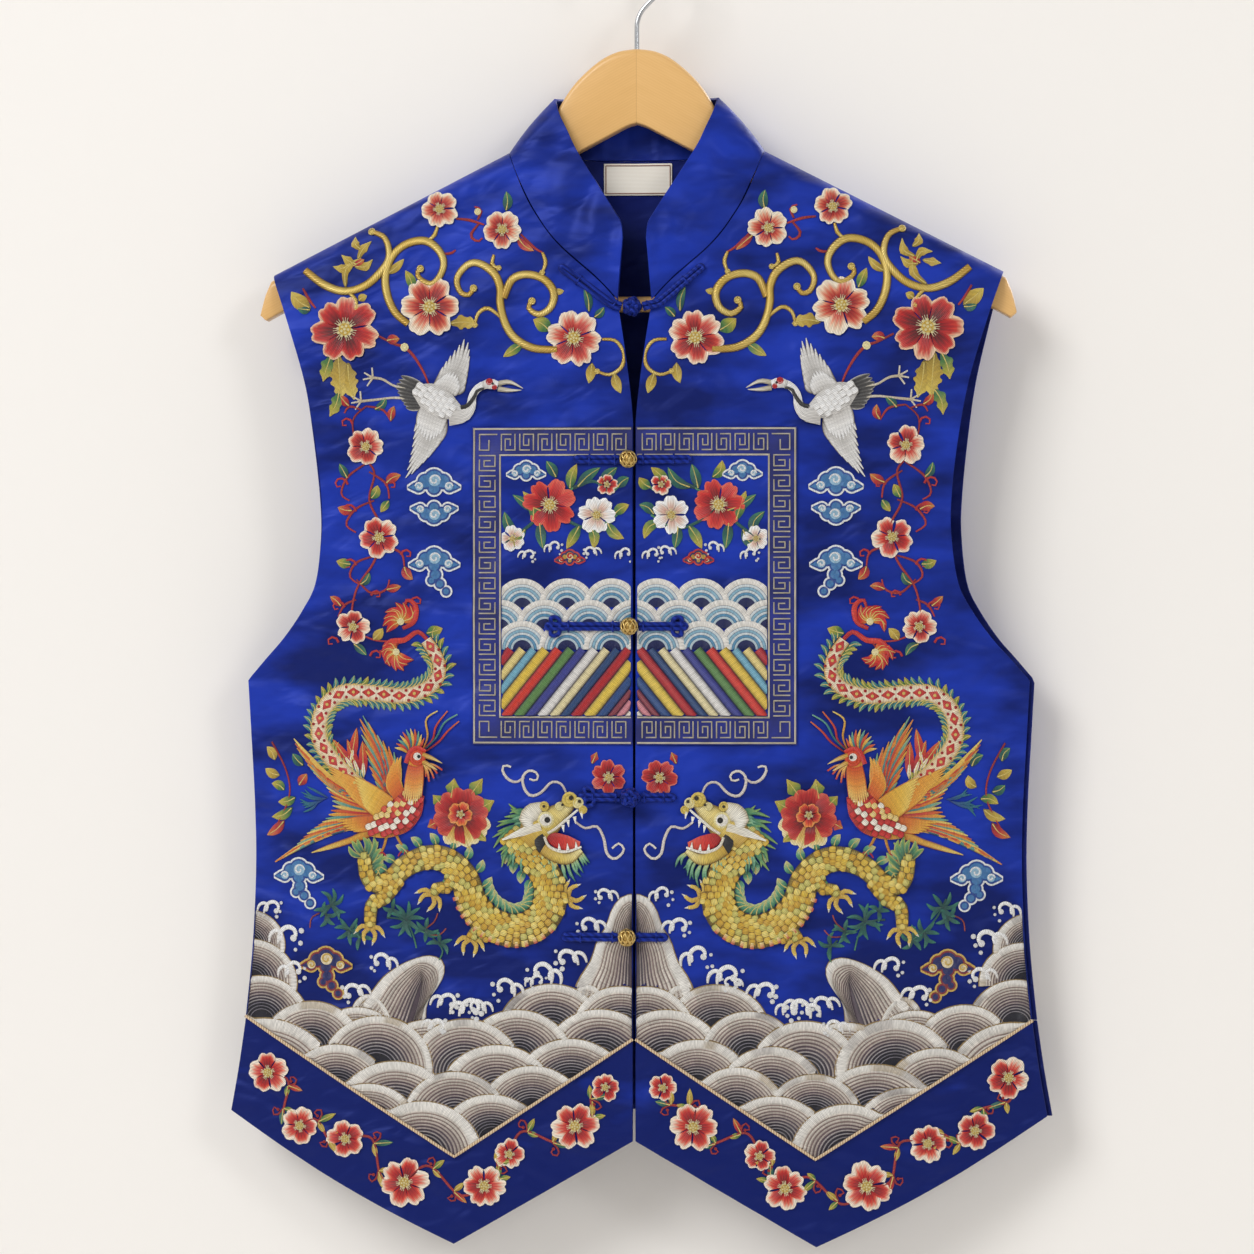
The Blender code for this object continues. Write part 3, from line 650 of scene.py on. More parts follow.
def make_back():
    top = joined(neck_back_line, shoulder_line, BACK_NECK_SHARE)
    outer = joined(armhole_line, side_line, ARMHOLE_SHARE)
    bottom = along([(0.0, SIDE_SEAM[-1].z), SIDE_SEAM[-1]])
    inner = along([NECK_BACK[0], (0.0, SIDE_SEAM[-1].z)])
    out, z = patch(top, bottom, inner, outer, np.abs(BACK_COLUMNS), BACK_ROWS)
    side = np.sign(BACK_COLUMNS)[None, :]
    x = side * (out + back_extra(z, side) * (out / edge_at(z)) ** 4)
    return cloth_piece("satin_back", x, back_y(x, z), z, WALL, satin, True, half=1)


def make_back_band():
    points = band_side_line(BAND_ROWS)
    side = np.sign(BACK_COLUMNS)[None, :]
    x = BACK_COLUMNS[None, :] * (points[:, :1] + np.where(side < 0, BACK_SHOWS[-1], BACK_SHOWS[1]))
    z = points[:, 1:] + np.zeros_like(x)
    return cloth_piece("satin_hem_band_back", x, back_y(x, z), z, WALL, satin, True, half=1)


def declare(made, node):
    """Let a sheet stand for its solid by hiding the solid's node."""
    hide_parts(node)


for side_name, side in (("left", -1), ("right", 1)):
    declare(make_front(f"satin_front_{side_name}", side), f"front_{side_name}")
    declare(make_front_band(f"satin_hem_band_{side_name}", side), f"hem_band_{side_name}")
declare(make_back(), "back")
declare(make_back_band(), "hem_band_back")

# %% [markdown]
# The stand collar is one band, ruled between the neck seam and its own top edge, with a
# slight crown across. It is cut on the cross, so soft diagonal folds run over it, and the
# inside of its back shows small gathers under the hanger.

# %% Collar
Place = namedtuple("Place", "out y z")
COLLAR_WALL = 2.0
COLLAR_GAP = 0.7
COLLAR_CROWN = 1.2
COLLAR_RELIEF = 1.7     # how far a fold of height 1 stands up from the collar
COLLAR_BACK_SHARE = 0.4
COLLAR_TOP_BACK = (
    Place(0, 17, -94.5), Place(25, 15, -94.5), Place(42, 9.5, -95.3), Place(49, -3, -96.5),
)
COLLAR_TOP_FRONT = (
    COLLAR_TOP_BACK[-1], Place(47.0, -10.5, -103.0), Place(42.5, -13.5, -113.5),
    Place(35.2, -16.5, -128.3), Place(23.5, -21.0, -147.5), Place(12.2, -25.0, -165.5),
    Place(8.0, -26.0, -173.0), Place(6.9, -26.5, -182.0),
)
# Folds on the collar: place round the band and up it, slant, half width and height.
COLLAR_FOLDS = (
    (-0.92, 0.6, 0.02, 0.030, -0.6), (-0.84, 0.4, 0.05, 0.045, 1), (-0.75, 0.7, -0.02, 0.034, -0.9),
    (-0.67, 0.4, 0.04, 0.050, 0.9), (-0.56, 0.6, 0.02, 0.040, -0.9), (-0.47, 0.4, 0, 0.040, 0.7),
    (0.93, 0.5, -0.03, 0.032, -0.5), (0.85, 0.6, -0.05, 0.044, 0.9), (0.74, 0.4, 0.02, 0.040, -0.8),
    (0.64, 0.7, -0.06, 0.046, 1), (0.54, 0.5, 0, 0.036, -0.8), (0.46, 0.3, 0.02, 0.040, 0.6),
    (-0.21, 0.5, 0.02, 0.012, 0.8), (-0.12, 0.5, -0.02, 0.010, -0.8), (-0.03, 0.5, 0.01, 0.012, 0.8),
    (0.07, 0.5, 0.02, 0.010, -0.8), (0.16, 0.5, -0.01, 0.012, 0.8), (0.25, 0.5, 0.02, 0.011, -0.7),
)


def collar_points():
    """The collar's outer face: rows from the top edge to the seam, columns round the neck."""
    half = stops((COLLAR_BACK_SHARE, 40), (1, 80))
    turn = np.concatenate([-half[:0:-1], half])
    up = np.linspace(1.0, 0.0, 25)
    back_part = np.abs(turn) <= COLLAR_BACK_SHARE
    side = np.where(turn < 0, -1.0, 1.0)
    early = np.abs(turn) / COLLAR_BACK_SHARE
    late = (np.abs(turn) - COLLAR_BACK_SHARE) / (1.0 - COLLAR_BACK_SHARE)
    seam = np.where(back_part[:, None], neck_back_line(early), neck_front_line(1.0 - late))
    base_x = side * seam[:, 0]
    base_y = np.where(back_part, back_y(base_x, seam[:, 1]), front_y(base_x, seam[:, 1]))
    base = np.stack([base_x, base_y, seam[:, 1]], axis=-1)
    top = np.where(
        back_part[:, None], along(smooth(COLLAR_TOP_BACK))(early),
        along(smooth(COLLAR_TOP_FRONT))(late))
    top[:, 0] *= side
    rise = top - base
    gap = COLLAR_GAP * np.clip((np.abs(turn) - 0.36) / 0.12, 0.0, 1.0)[:, None]
    base += rise / np.linalg.norm(rise, axis=1)[:, None] * gap
    points = base[None] + (top - base)[None] * up[:, None, None]
    outward = points * np.array([0.6, 2, 0]) + np.array([0, 1, 20])
    outward /= np.linalg.norm(outward, axis=-1)[..., None]
    height = COLLAR_CROWN * np.sin(np.pi * up)[:, None] + np.zeros_like(turn)[None, :]
    for fold_turn, fold_up, slant, width, crest in COLLAR_FOLDS:
        across = (turn[None, :] - fold_turn - slant * (up[:, None] - 0.5)) / width
        lengthwise = (up[:, None] - fold_up) / 0.42
        height += COLLAR_RELIEF * crest * np.exp(-across ** 2 - lengthwise ** 2)
    points = points + outward * height[..., None]
    return points[..., 0], points[..., 1], points[..., 2]


collar, collar_area = cloth_piece("satin_collar", *collar_points(), COLLAR_WALL, satin, True)
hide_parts("collar")
print("collar made")

# %% [markdown]
# The hanger is a flat beech board: a head with a round top and two sloping arms, sawn
# out, rounded over on a router and varnished. The two halves meet at the middle, where
# the grain changes its slant. The long figure of beech follows each arm.

# %% Beech
GRAIN = 1.5             # spacing of the growth lines, in millimetres
GLUE_LINE = 0.18        # half the width of the glued joint at the middle


def beech_material(name, slant):
    paint, tree = new_material(name)
    place = place_on(tree)
    parts = add_node(tree, "SeparateXYZ", {"Vector": place}).outputs
    out = add_node(tree, "Math", {0: parts["X"]}, operation="ABSOLUTE")
    folded = add_node(tree, "CombineXYZ", {"X": out, "Y": parts["Y"], "Z": parts["Z"]})
    grown_way = add_node(tree, "Mapping", {
        "Vector": folded, "Rotation": (0.0, slant, 0.0), "Scale": (9.0, 1.0, 1.0)},
        vector_type="TEXTURE")
    lines = ribbed(tree, grown_way, GRAIN, "Z",
                   **{"Distortion": 2.4, "Detail": 3.0, "Detail Scale": 0.8})
    lines.node.wave_profile = "SAW"
    flecks = add_node(tree, "TexNoise", {"Vector": grown_way, "Scale": 420.0, "Detail": 2.0})
    grown = add_node(tree, "Mix", {0: 0.6, 2: lines, 3: flecks.outputs["Fac"]}, data_type="FLOAT")
    left_board = add_node(tree, "Math", {0: parts["X"], 1: 0.0}, operation="LESS_THAN")
    tone = add_node(tree, "Math", {0: left_board, 1: -0.16, 2: grown}, operation="MULTIPLY_ADD")
    wood = ramp(tree, tone, [(0.1, "#D9A964"), (0.5, "#E0B16D"), (0.9, "#E5B877")])
    joint = add_node(tree, "Math", {0: out, 1: GLUE_LINE * MM}, operation="LESS_THAN")
    colour = add_node(tree, "Mix", {0: joint, 6: wood, 7: linear("#CC9C5A")}, data_type="RGBA")
    return coated(paint, {
        "Base Color": colour.outputs[2], "Roughness": 0.42, "Coat Weight": 0.35,
        "Coat Roughness": 0.22, "Normal": bump(tree, 0.08, 0.0002, tone)})


# %% Hanger
WOOD_THICK = 12.0
WOOD_EDGE = 4.5
WOOD_LOWER_EDGE = 1.4
WOOD_BELOW_SEAM = 3.2
ARM_SLOPE = 0.53
ARM_UNDER_CENTRE = -110.5
HEAD_OUTLINE = (
    Spot(0, -67), Spot(11.5, -68.7), Spot(23, -74.6), Spot(36.5, -87),
    Spot(46, -101), Spot(53.5, -116), Spot(61, -128), Spot(72, -134.5),
)
TIP_OUTLINE = (Spot(219.5, -204.6), Spot(223.5, -214), Spot(225.8, -225.5), Spot(222.5, -228.6))
BAR_RADIUS = 4.7
BAR_HALF_LENGTH = 208.0
BAR_Z = -219.5
WIRE_RADIUS = 1.5
HOOK_RADIUS = 20.0


def board_edges(out):
    """Height of the board's top and bottom edges at a distance out."""
    head = smooth(HEAD_OUTLINE, 8)
    arm = [(o, NECK_POINT.z - SHOULDER_SLOPE * (o - NECK_POINT.out) - WOOD_BELOW_SEAM)
           for o in (NECK_POINT.out + 14.0, SHOULDER_TIP.out - 2.0)]
    tip = smooth(TIP_OUTLINE[:3], 4)
    top = np.array([tuple(spot) for spot in head[:-1]] + arm + [tuple(spot) for spot in tip])
    under = np.array([(0.0, ARM_UNDER_CENTRE - 1.2)] + [
        (o, ARM_UNDER_CENTRE - ARM_SLOPE * o) for o in (5.0, 20.0, 75.0, 216.0)]
        + [tuple(TIP_OUTLINE[3]), tuple(TIP_OUTLINE[2])])
    return np.interp(out, *top.T), np.interp(out, *under.T)


def make_board():
    """A rounded section carried from tip to tip along the board's two edges."""
    half = np.concatenate([np.linspace(0.0, 76.0, 40), np.linspace(80.0, 214.0, 30),
                           np.linspace(216.0, TIP_OUTLINE[2].out, 12)])
    out = np.concatenate([-half[:0:-1], half])
    top, under = board_edges(np.abs(out))
    middle, tall = (top + under) / 2, np.maximum((top - under) / 2, 0.0)
    ys, zs = [], []
    for corner, (way_y, way_z) in enumerate(((-1, 1), (1, 1), (1, -1), (-1, -1))):
        bend = np.minimum(WOOD_EDGE if way_z > 0 else WOOD_LOWER_EDGE, tall)
        for angle in np.radians(np.linspace(180.0, 90.0, 6) - 90.0 * corner):
            ys.append(way_y * (WOOD_THICK / 2 - bend) + bend * math.cos(angle))
            zs.append(middle + way_z * (tall - bend) + bend * math.sin(angle))
    ys.append(ys[0])
    zs.append(zs[0])
    y, z = np.array(ys).T, np.array(zs).T
    board = placed_grid(out[:, None] + 0.0 * y, y, z)
    bmesh.ops.remove_doubles(board, verts=board.verts, dist=0.01 * MM)
    finish_solid("beech_board", board, beech_material("varnished beech board", 0.49),
                 "hanger_wood")


def make_bar():
    """A turned dowel, let into the arms' ends."""
    bar = bmesh.new()
    bmesh.ops.create_cone(
        bar, cap_ends=True, segments=32, radius1=BAR_RADIUS * MM, radius2=BAR_RADIUS * MM,
        depth=2 * BAR_HALF_LENGTH * MM)
    turn = Vector((1, 0, 0)).to_track_quat("Z", "Y").to_matrix()
    bmesh.ops.rotate(bar, verts=bar.verts, matrix=turn)
    bmesh.ops.translate(bar, verts=bar.verts, vec=(0.0, 0.0, BAR_Z * MM))
    finish_solid("beech_bar", bar, beech_material("varnished beech dowel", 0.0), "hanger_bar")


make_board()
make_bar()
print("hanger made")

# %% [markdown]
# The hook is drawn steel wire, bright and hard, bent cold: it rises from the head, leans
# aside and turns back over the rail. A swept circle follows its centre line.

# %% Hook
def steel_material():
    paint, tree = new_material("bright drawn steel wire")
    place = place_on(tree)
    drawn = add_node(tree, "TexNoise", {"Vector": place, "Scale": 900.0, "Detail": 2.0})
    rough = add_node(tree, "MapRange", {"Value": drawn.outputs["Fac"], "To Min": 0.16, "To Max": 0.3})
    return coated(paint, {"Base Color": linear("#C4C6C9"), "Metallic": 1.0, "Roughness": rough})


def hook_path():
    """Centre line of the wire: the shank, the bend aside and the arch over the rail."""
    centre_z = WIRE_RADIUS - HOOK_RADIUS
    angles = np.radians(np.linspace(-45.0, 205.0, 48))
    arc = np.stack([HOOK_RADIUS * np.cos(angles), centre_z + HOOK_RADIUS * np.sin(angles)], axis=-1)
    pull = 10.0
    knots = [np.array([0, -54]), np.array([0.0, -54.0 + pull]),
             arc[0] - np.array([1, 1]) / math.sqrt(2) * pull, arc[0]]
    f = np.linspace(0.0, 1.0, 13)[:-1, None]
    bend = ((1 - f) ** 3 * knots[0] + 3 * f * (1 - f) ** 2 * knots[1]
            + 3 * f * f * (1 - f) * knots[2] + f ** 3 * knots[3])
    flat = np.vstack([[0, -88], bend, arc])
    return np.stack([flat[:, 0], np.zeros(len(flat)), flat[:, 1]], axis=-1)


def tube(shape, path, radius, sides):
    """Sweep a circle along a path of 3-D points, with closed, rounded ends."""
    path = np.asarray(path, dtype=float)
    ahead = np.gradient(path, axis=0)
    ahead /= np.linalg.norm(ahead, axis=1)[:, None]
    aside = np.cross(ahead, np.array([0, 1, 0]))
    aside /= np.maximum(np.linalg.norm(aside, axis=1), 1e-6)[:, None]
    above = np.cross(aside, ahead)
    angles = math.tau * np.arange(sides) / sides
    circles = []
    for index, centre in enumerate(path):
        ring = (centre + radius * np.cos(angles)[:, None] * aside[index]
                + radius * np.sin(angles)[:, None] * above[index]) * MM
        circles.append([shape.verts.new(point) for point in ring])
    for ring, following in zip(circles, circles[1:]):
        for index in range(sides):
            after = (index + 1) % sides
            shape.faces.new((ring[index], following[index], following[after], ring[after]))
    for ring in (circles[0], circles[-1][::-1]):
        bmesh.ops.inset_region(shape, faces=[shape.faces.new(ring)], thickness=radius * 0.35 * MM,
                               depth=radius * 0.35 * MM)


hook_shape = bmesh.new()
tube(hook_shape, hook_path(), WIRE_RADIUS, sides=16)
finish_solid("steel_hook", hook_shape, steel_material(), "hanger_hook")
print("hook made")

# %% [markdown]
# Embroidery is thread laid side by side until it fills a shape and stands a little above
# the cloth. Modelling every thread would take millions of faces, so each filled shape is
# a domed strip: a grid placed along a path, with a width and a colour at every point. The
# threads themselves are a fine bump that follows the strip, read from the attribute `lay`.

# %% Silk and gold thread
THREAD = 0.9            # spacing of the drawn threads, three times the real floss
ROPE_TWIST = 1.8        # length of one turn of the couched gold cord


def multiplied(tree, first, second):
    return add_node(tree, "Mix", {0: 1.0, 6: first, 7: second}, data_type="RGBA",
                    blend_type="MULTIPLY").outputs[2]


def thread_material(name, spacing, depth, finish):
    """Thread whose colour and lay come from the strips' own attributes."""
    paint, tree = new_material(name)
    dye = add_node(tree, "Attribute", attribute_name="thread").outputs["Color"]
    lay = add_node(tree, "Attribute", attribute_name="lay").outputs["Vector"]
    ribs = ribbed(tree, lay, spacing, "X", Distortion=0.8, Detail=1.0)
    stretched = add_node(tree, "Mapping", {"Vector": lay, "Scale": (900.0, 160.0, 1.0)})
    uneven = add_node(tree, "TexNoise", {"Vector": stretched, "Scale": 1.0, "Detail": 2.0})
    shaded = ramp(tree, ribs, [(0, "#C4C4C4"), (0.5, "#FFFFFF")])
    varied = ramp(tree, uneven.outputs["Fac"], [(0.3, "#D8D8D8"), (0.65, "#FFFFFF")])
    return coated(paint, {
        "Base Color": multiplied(tree, multiplied(tree, dye, shaded), varied),
        "Normal": bump(tree, depth, 0.0004, ribs), **finish})


silk = thread_material("silk floss in satin stitch", THREAD, 0.5, {
    "Roughness": 0.42, "Specular IOR Level": 0.5, "Sheen Weight": 0.12, "Sheen Roughness": 0.4})
gold = thread_material("couched gold cord", ROPE_TWIST, 0.35, {"Roughness": 0.34, "Metallic": 0.35})
print("threads:", silk.name, "and", gold.name)

# %% Strips of thread
Strip = namedtuple("Strip", "x z lift colour lay")


def tones(colours, fractions):
    """Colours read along a row of hex colours, as linear values with alpha."""
    table = np.array([linear(colour) for colour in colours])
    f = np.asarray(fractions, dtype=float)
    stops_at = np.linspace(0.0, 1.0, len(colours))
    return np.stack([np.interp(f, stops_at, table[:, c]) for c in range(4)], axis=-1)


def ribbon(hoop, path, width, colours, lift=0.12, dome=0.6, across=4, grain="across",
           rows=None, rim=None):
    """One domed ribbon of thread; widths and colours are read along its path."""
    path = np.asarray(path, dtype=float)
    length = length_of(path)
    rows = rows or max(int(length / 2.4), 3)
    f = np.linspace(0.0, 1.0, rows + 1)
    centre = along(path)(f)
    ahead = np.gradient(centre, axis=0)
    ahead /= np.maximum(np.linalg.norm(ahead, axis=1), 1e-9)[:, None]
    half = read_along(width, f)[:, None] / 2
    t = np.linspace(-1.0, 1.0, across + 1)[None, :]
    x = centre[:, :1] + ahead[:, 1:] * half * t
    z = centre[:, 1:] - ahead[:, :1] * half * t
    fill = half / max(float(half.max()), 1e-9)
    rise = lift + dome * np.sqrt(np.clip(1.0 - t * t, 0.0, 1.0)) * (0.3 + 0.7 * fill)
    colour = np.repeat(tones(colours, f)[:, None, :], across + 1, axis=1)
    # `rim` colours a strip's edges: a real outline on most strips, painted shade on the rolled badge
    # stripes and the gold scrolls.
    if rim:
        edge = (np.abs(t) ** 3)[..., None]
        colour = colour * (1.0 - edge) + np.array(linear(rim)) * edge
    run = f[:, None] * length + 0.0 * t
    side = half * t
    lays = {"across": (run, side), "along": (side, run), "twisted": (run + 1.3 * side, side),
            "slanted": (run + 0.7 * np.abs(side), side)}[grain]
    hoop.append(Strip(x, z, rise + 0.0 * x, colour, np.stack(lays, axis=-1)))


def petal(hoop, centre, turn, inner, reach, width, colours, lift, notch=0.1, redness=1.7):
    """A petal that opens from a flower's middle; long stitches streak it, its edge is notched."""
    s = np.linspace(0.0, 1.0, 9)[:, None]
    t = np.linspace(-1.0, 1.0, 9)[None, :]
    half = width / 2 * (0.16 + 0.84 * s ** 0.85) + 0.0 * t
    out = inner + (reach - inner) * s * (
        1.0 - 0.34 * t ** 4 * s - 0.12 * t * t * s - notch * np.exp(-(t / 0.25) ** 2) * s ** 4)
    x = centre[0] + math.cos(turn) * out + math.sin(turn) * half * t
    z = centre[1] + math.sin(turn) * out - math.cos(turn) * half * t
    rise = lift + 0.7 * (1.0 - t * t) * (0.35 + 0.65 * np.sin(math.pi * s))
    streak = 0.1 * np.sin(math.pi * s) * np.cos(4.0 * math.pi * t)
    pale_edge = 0.1 * t * t + 0.4 * np.abs(t) ** 6 * s
    colour = tones(colours, np.clip(s ** redness + pale_edge - streak, 0.0, 1.0))
    hoop.append(Strip(x, z, rise, colour, np.stack([half * t, out], axis=-1)))


BURIED = -0.8           # lift of points tucked under what lies in front
LAID_ON = 0.25          # keeps every stitch clear of the cloth's own facets


def tucked(x, z, lift, over):
    """Sink the points that lie under circles in front."""
    for middle, radius in over:
        away = np.hypot(x - middle[0], z - middle[1])
        lift = np.where(away < radius - 0.6, BURIED, lift)
    return lift


def rings(hoop, outline, core, bands, lift, over=()):
    """Concentric bands from an outline in to a core; a band is (outer, inner, colour, height)."""
    outline = np.asarray(outline, dtype=float)
    core = np.broadcast_to(np.asarray(core, dtype=float), outline.shape)
    run = np.concatenate([[0.0], np.cumsum(np.linalg.norm(np.diff(outline, axis=0), axis=1))])
    for outer, inner, colour, height in bands:
        share = np.array([outer, (outer * 2 + inner) / 3, (outer + 2 * inner) / 3, inner])
        if outer - inner < 0.09:
            share = np.array([outer, (outer + inner) / 2, inner])
        points = core[:, None, :] + (outline - core)[:, None, :] * share[None, :, None]
        x, z = points[..., 0], points[..., 1]
        rise = np.full(len(share), height)
        rise[0] = rise[-1] = 0.0
        size = np.linalg.norm(outline - core, axis=1)[:, None]
        if isinstance(colour, str):
            colour = np.broadcast_to(np.array(linear(colour)), x.shape + (4,))
        else:
            colour = np.repeat(colour[:, None, :], len(share), axis=1)
        lay = np.stack([run[:, None] + 0.0 * x, size * share[None, :]], axis=-1)
        hoop.append(Strip(x, z, tucked(x, z, lift + rise[None, :] + 0.0 * x, over), colour, lay))


def circle(centre, radius, steps=14, start=90.0, sweep=360.0):
    """Points clockwise round a circle, as the viewer sees it."""
    angles = np.radians(start - np.linspace(0.0, sweep, steps + 1))
    return np.stack([centre[0] + radius * np.cos(angles), centre[1] + radius * np.sin(angles)], -1)


def polar(middle, reach, turn):
    """The point at a distance and an angle from a middle."""
    return np.array([middle[0] + reach * math.cos(turn), middle[1] + reach * math.sin(turn)])


def turned(points, angle):
    """Points turned about the origin by an angle in degrees."""
    turn = math.radians(angle)
    return points @ np.array([[math.cos(turn), math.sin(turn)], [-math.sin(turn), math.cos(turn)]])


def heading(line, f):
    """The unit direction of a line at a share of its length."""
    ahead = line(min(f + 0.01, 1.0)) - line(max(f - 0.01, 0.0))
    return ahead / max(np.linalg.norm(ahead), 1e-6)


def length_of(path):
    return float(np.linalg.norm(np.diff(path, axis=0), axis=1).sum())


def read_along(values, f):
    """Values spread evenly over a line, read at shares of its length."""
    return np.interp(f, np.linspace(0.0, 1.0, len(values)), values)


def dot(hoop, centre, radius, colour, lift=0.15, dome=0.8, steps=8):
    rings(hoop, circle(centre, radius, steps), centre, [(1.0, 0.5, colour, dome * 0.75)], lift)
    rings(hoop, circle(centre, radius * 0.55, steps), centre, [(1.0, 0.0, colour, dome * 0.3)],
          lift + dome * 0.55)


def mirrored(strips, way=-1.0):
    """The same strips on the vest's other half, or with way=1 turned to face its back."""
    return [Strip(way * s.x[:, ::-1], s.z[:, ::-1], s.lift[:, ::-1], s.colour[:, ::-1], s.lay[:, ::-1])
            for s in strips]


SLIVER = 2e-9           # square metres; smaller faces are dropped
SEAM_MARGIN = 1.0       # embroidery stops this far inside a panel's edge


def inside_front(x, z, side=0.0):
    """Hold points inside one front: off the opening, the side, the shoulder and the band seam."""
    side = side or np.where(x < 0, -1.0, 1.0)
    out = np.maximum(x * side, 0.0)
    seam_x, seam_z = band_seam(np.linspace(0.0, 1.0, 200)).T
    z = np.maximum(z, np.interp(out, seam_x, seam_z) + SEAM_MARGIN)
    shoulder = NECK_POINT.z - SHOULDER_SLOPE * (out - NECK_POINT.out) - 0.7
    z = np.where(out > NECK_POINT.out, np.minimum(z, shoulder), z)
    out = np.clip(out, gape(z) + 0.6, edge_at(np.minimum(z, SHOULDER_TIP.z)) - SEAM_MARGIN)
    return side * out, z


def inside_back(x, z):
    """Hold points on the back panel, above its band and off its side edges."""
    z = np.maximum(z, SIDE_SEAM[-1].z + SEAM_MARGIN)
    edge = edge_at(z) + back_extra(z, np.sign(x)) - SEAM_MARGIN
    return np.clip(x, -edge, edge), z


def inside_band(x, z):
    """Hold points inside a front's hem band."""
    out, side = np.abs(x), np.where(x < 0, -1.0, 1.0)
    seam_x, seam_z = band_seam(np.linspace(0.0, 1.0, 200)).T
    hem_x, hem_z = hem(np.linspace(0.0, 1.0, 200)).T
    z = np.minimum(z, np.interp(out, seam_x, seam_z) - 2.5)
    z = np.maximum(z, np.interp(out, hem_x, hem_z) + SEAM_MARGIN)
    return side * np.clip(out, gape(z) + 0.6, edge_at(z) - SEAM_MARGIN), z


def sew(name, strips, paint, keep_in=inside_front, surface=front_y, slot="embroidery"):
    """Make one raised piece of many strips, each a grid laid on the cloth."""
    part = bmesh.new()
    buried = set()
    thread = part.verts.layers.float_color.new("thread")
    lay = part.verts.layers.float_vector.new("lay")
    for strip in strips:
        rows, columns = strip.x.shape
        grid = bmesh.ops.create_grid(
            part, x_segments=columns - 1, y_segments=rows - 1, size=0.5)["verts"]
        x, z = keep_in(strip.x, strip.z) if keep_in else (strip.x, strip.z)
        y = surface(x, z, strip.lift + LAID_ON)
        places = (np.stack([x, y, z], axis=-1) * MM).reshape(-1, 3).tolist()
        colours = strip.colour.reshape(-1, 4).tolist()
        threads = (strip.lay * MM).reshape(-1, 2).tolist()
        for vertex, place, colour, (u, v) in zip(grid, places, colours, threads):
            vertex.co = place
            vertex[thread] = colour
            vertex[lay] = (u, v, 0)
        hidden = strip.lift.reshape(-1) <= BURIED
        buried.update(vertex for vertex, under in zip(grid, hidden) if under)
    thin = [face for face in part.faces
            if face.calc_area() < SLIVER or all(vertex in buried for vertex in face.verts)]
    bmesh.ops.delete(part, geom=thin, context="FACES")
    item = finish_mesh(name, part, paint, 70.0)
    print(name, len(item.data.polygons) * 2, "triangles")


def sew_pair(name, motif, seed, **how):
    """Sew a motif on the left half and, from a draw of its own, mirrored on the right."""
    sew(name, motif(random.Random(seed)) + mirrored(motif(random.Random(seed + 1))), silk, **how)


# %% [markdown]
# The waves come first, because everything else floats above them. Each wave is a stack of
# arcs round one middle: a broad pale crest, then fine cream and mauve lines, then a dark
# heart. Waves in front lie over those behind, so the rows are worked from the top down.

# %% Waves
CREST, CREST_DARK, CREST_GOLD = "#F6F2EB", "#A39B98", "#A68A55"
HEART = "#15162B"
Wave = namedtuple("Wave", "middle radius")
WAVES = [Wave(middle, radius) for middle, radius in (
    ((-234, -603), 21.2), ((-231, -624), 24.8), ((-49, -651), 28.3),
    ((-225, -648), 27.1), ((-166, -663), 24.8), ((-7, -650), 26.0),
    ((-194, -663), 27.7), ((-19, -667), 29.5), ((-68, -666), 27.7),
    ((-124, -671), 26.0), ((-101, -676), 31.9), ((-154, -675), 31.9),
    ((-223, -685), 38.9), ((-178, -690), 29.5), ((-37, -684), 28.9),
    ((-81, -688), 28.9), ((-142, -701), 31.3), ((-61, -699), 27.7),
    ((-106, -703), 27.7), ((-160, -710), 26.5), ((-84, -715), 26.5),
    ((-126, -725), 31.9),
)]
LINES = ("#F1E9DF", "#EDE4D9", "#E6DBD0", "#DCCFC5", "#D2C5BC", "#CABDB8", "#CFC6C4", "#C9C2C4",
         "#BDB7BE", "#A5A0AC")
BETWEEN = ("#A18D84", "#97837C", "#88736F", "#766264", "#5F4D56", "#493C49", "#352B3A", "#251F30",
           "#191828", "#121222")


def wave_bands(fade=1.0, step=0.066, heart=HEART, crest=0.19):
    """Shares of the radius from the crest in to the heart; the lines darken on the way in."""
    bands = [(1.0, 0.975, CREST_GOLD, 0.3), (0.98, 0.98 - crest, CREST, 0.8)]
    edge = 0.99 - crest
    for index in range(len(LINES)):
        shade = min(round(index * fade), len(LINES) - 1)
        thread = step * (0.64 - 0.04 * shade)
        bands.append((edge, edge - thread, LINES[shade], 0.5))
        bands.append((edge - thread, edge - step, BETWEEN[shade], 0.12))
        edge -= step
    return bands + [(edge, 0.0, heart, 0.05)]


def uneven(colour, steps, draw):
    """One colour along an arc, a little darker here and there; a crest has grey or gold lengths."""
    knots = [draw.uniform(0.74, 1.04) for _ in range(steps // 3 + 2)]
    shade = np.interp(np.linspace(0.0, len(knots) - 1.0, steps + 1), range(len(knots)), knots)
    colours = tones([colour, colour], np.zeros(steps + 1))
    if colour == CREST:
        shade = 0.5 + 0.5 * shade
        for _ in range(draw.randint(1, 3)):
            start, run = draw.randrange(steps), draw.randint(2, 5)
            patch_colour = np.array(linear(draw.choice([CREST_DARK, CREST_DARK, CREST_GOLD])))
            colours[start:start + run] = 0.5 * colours[start:start + run] + 0.5 * patch_colour
    colours[:, :3] *= shade[:, None]
    return colours


def stacked_arcs(hoop, outline, core, draw, over, plan=wave_bands()):
    """Wave bands between an outline and a core point or line."""
    bands = [(outer, inner, uneven(colour, len(outline) - 1, draw), height)
             for outer, inner, colour, height in plan]
    rings(hoop, outline, core, bands, 0.15, over)


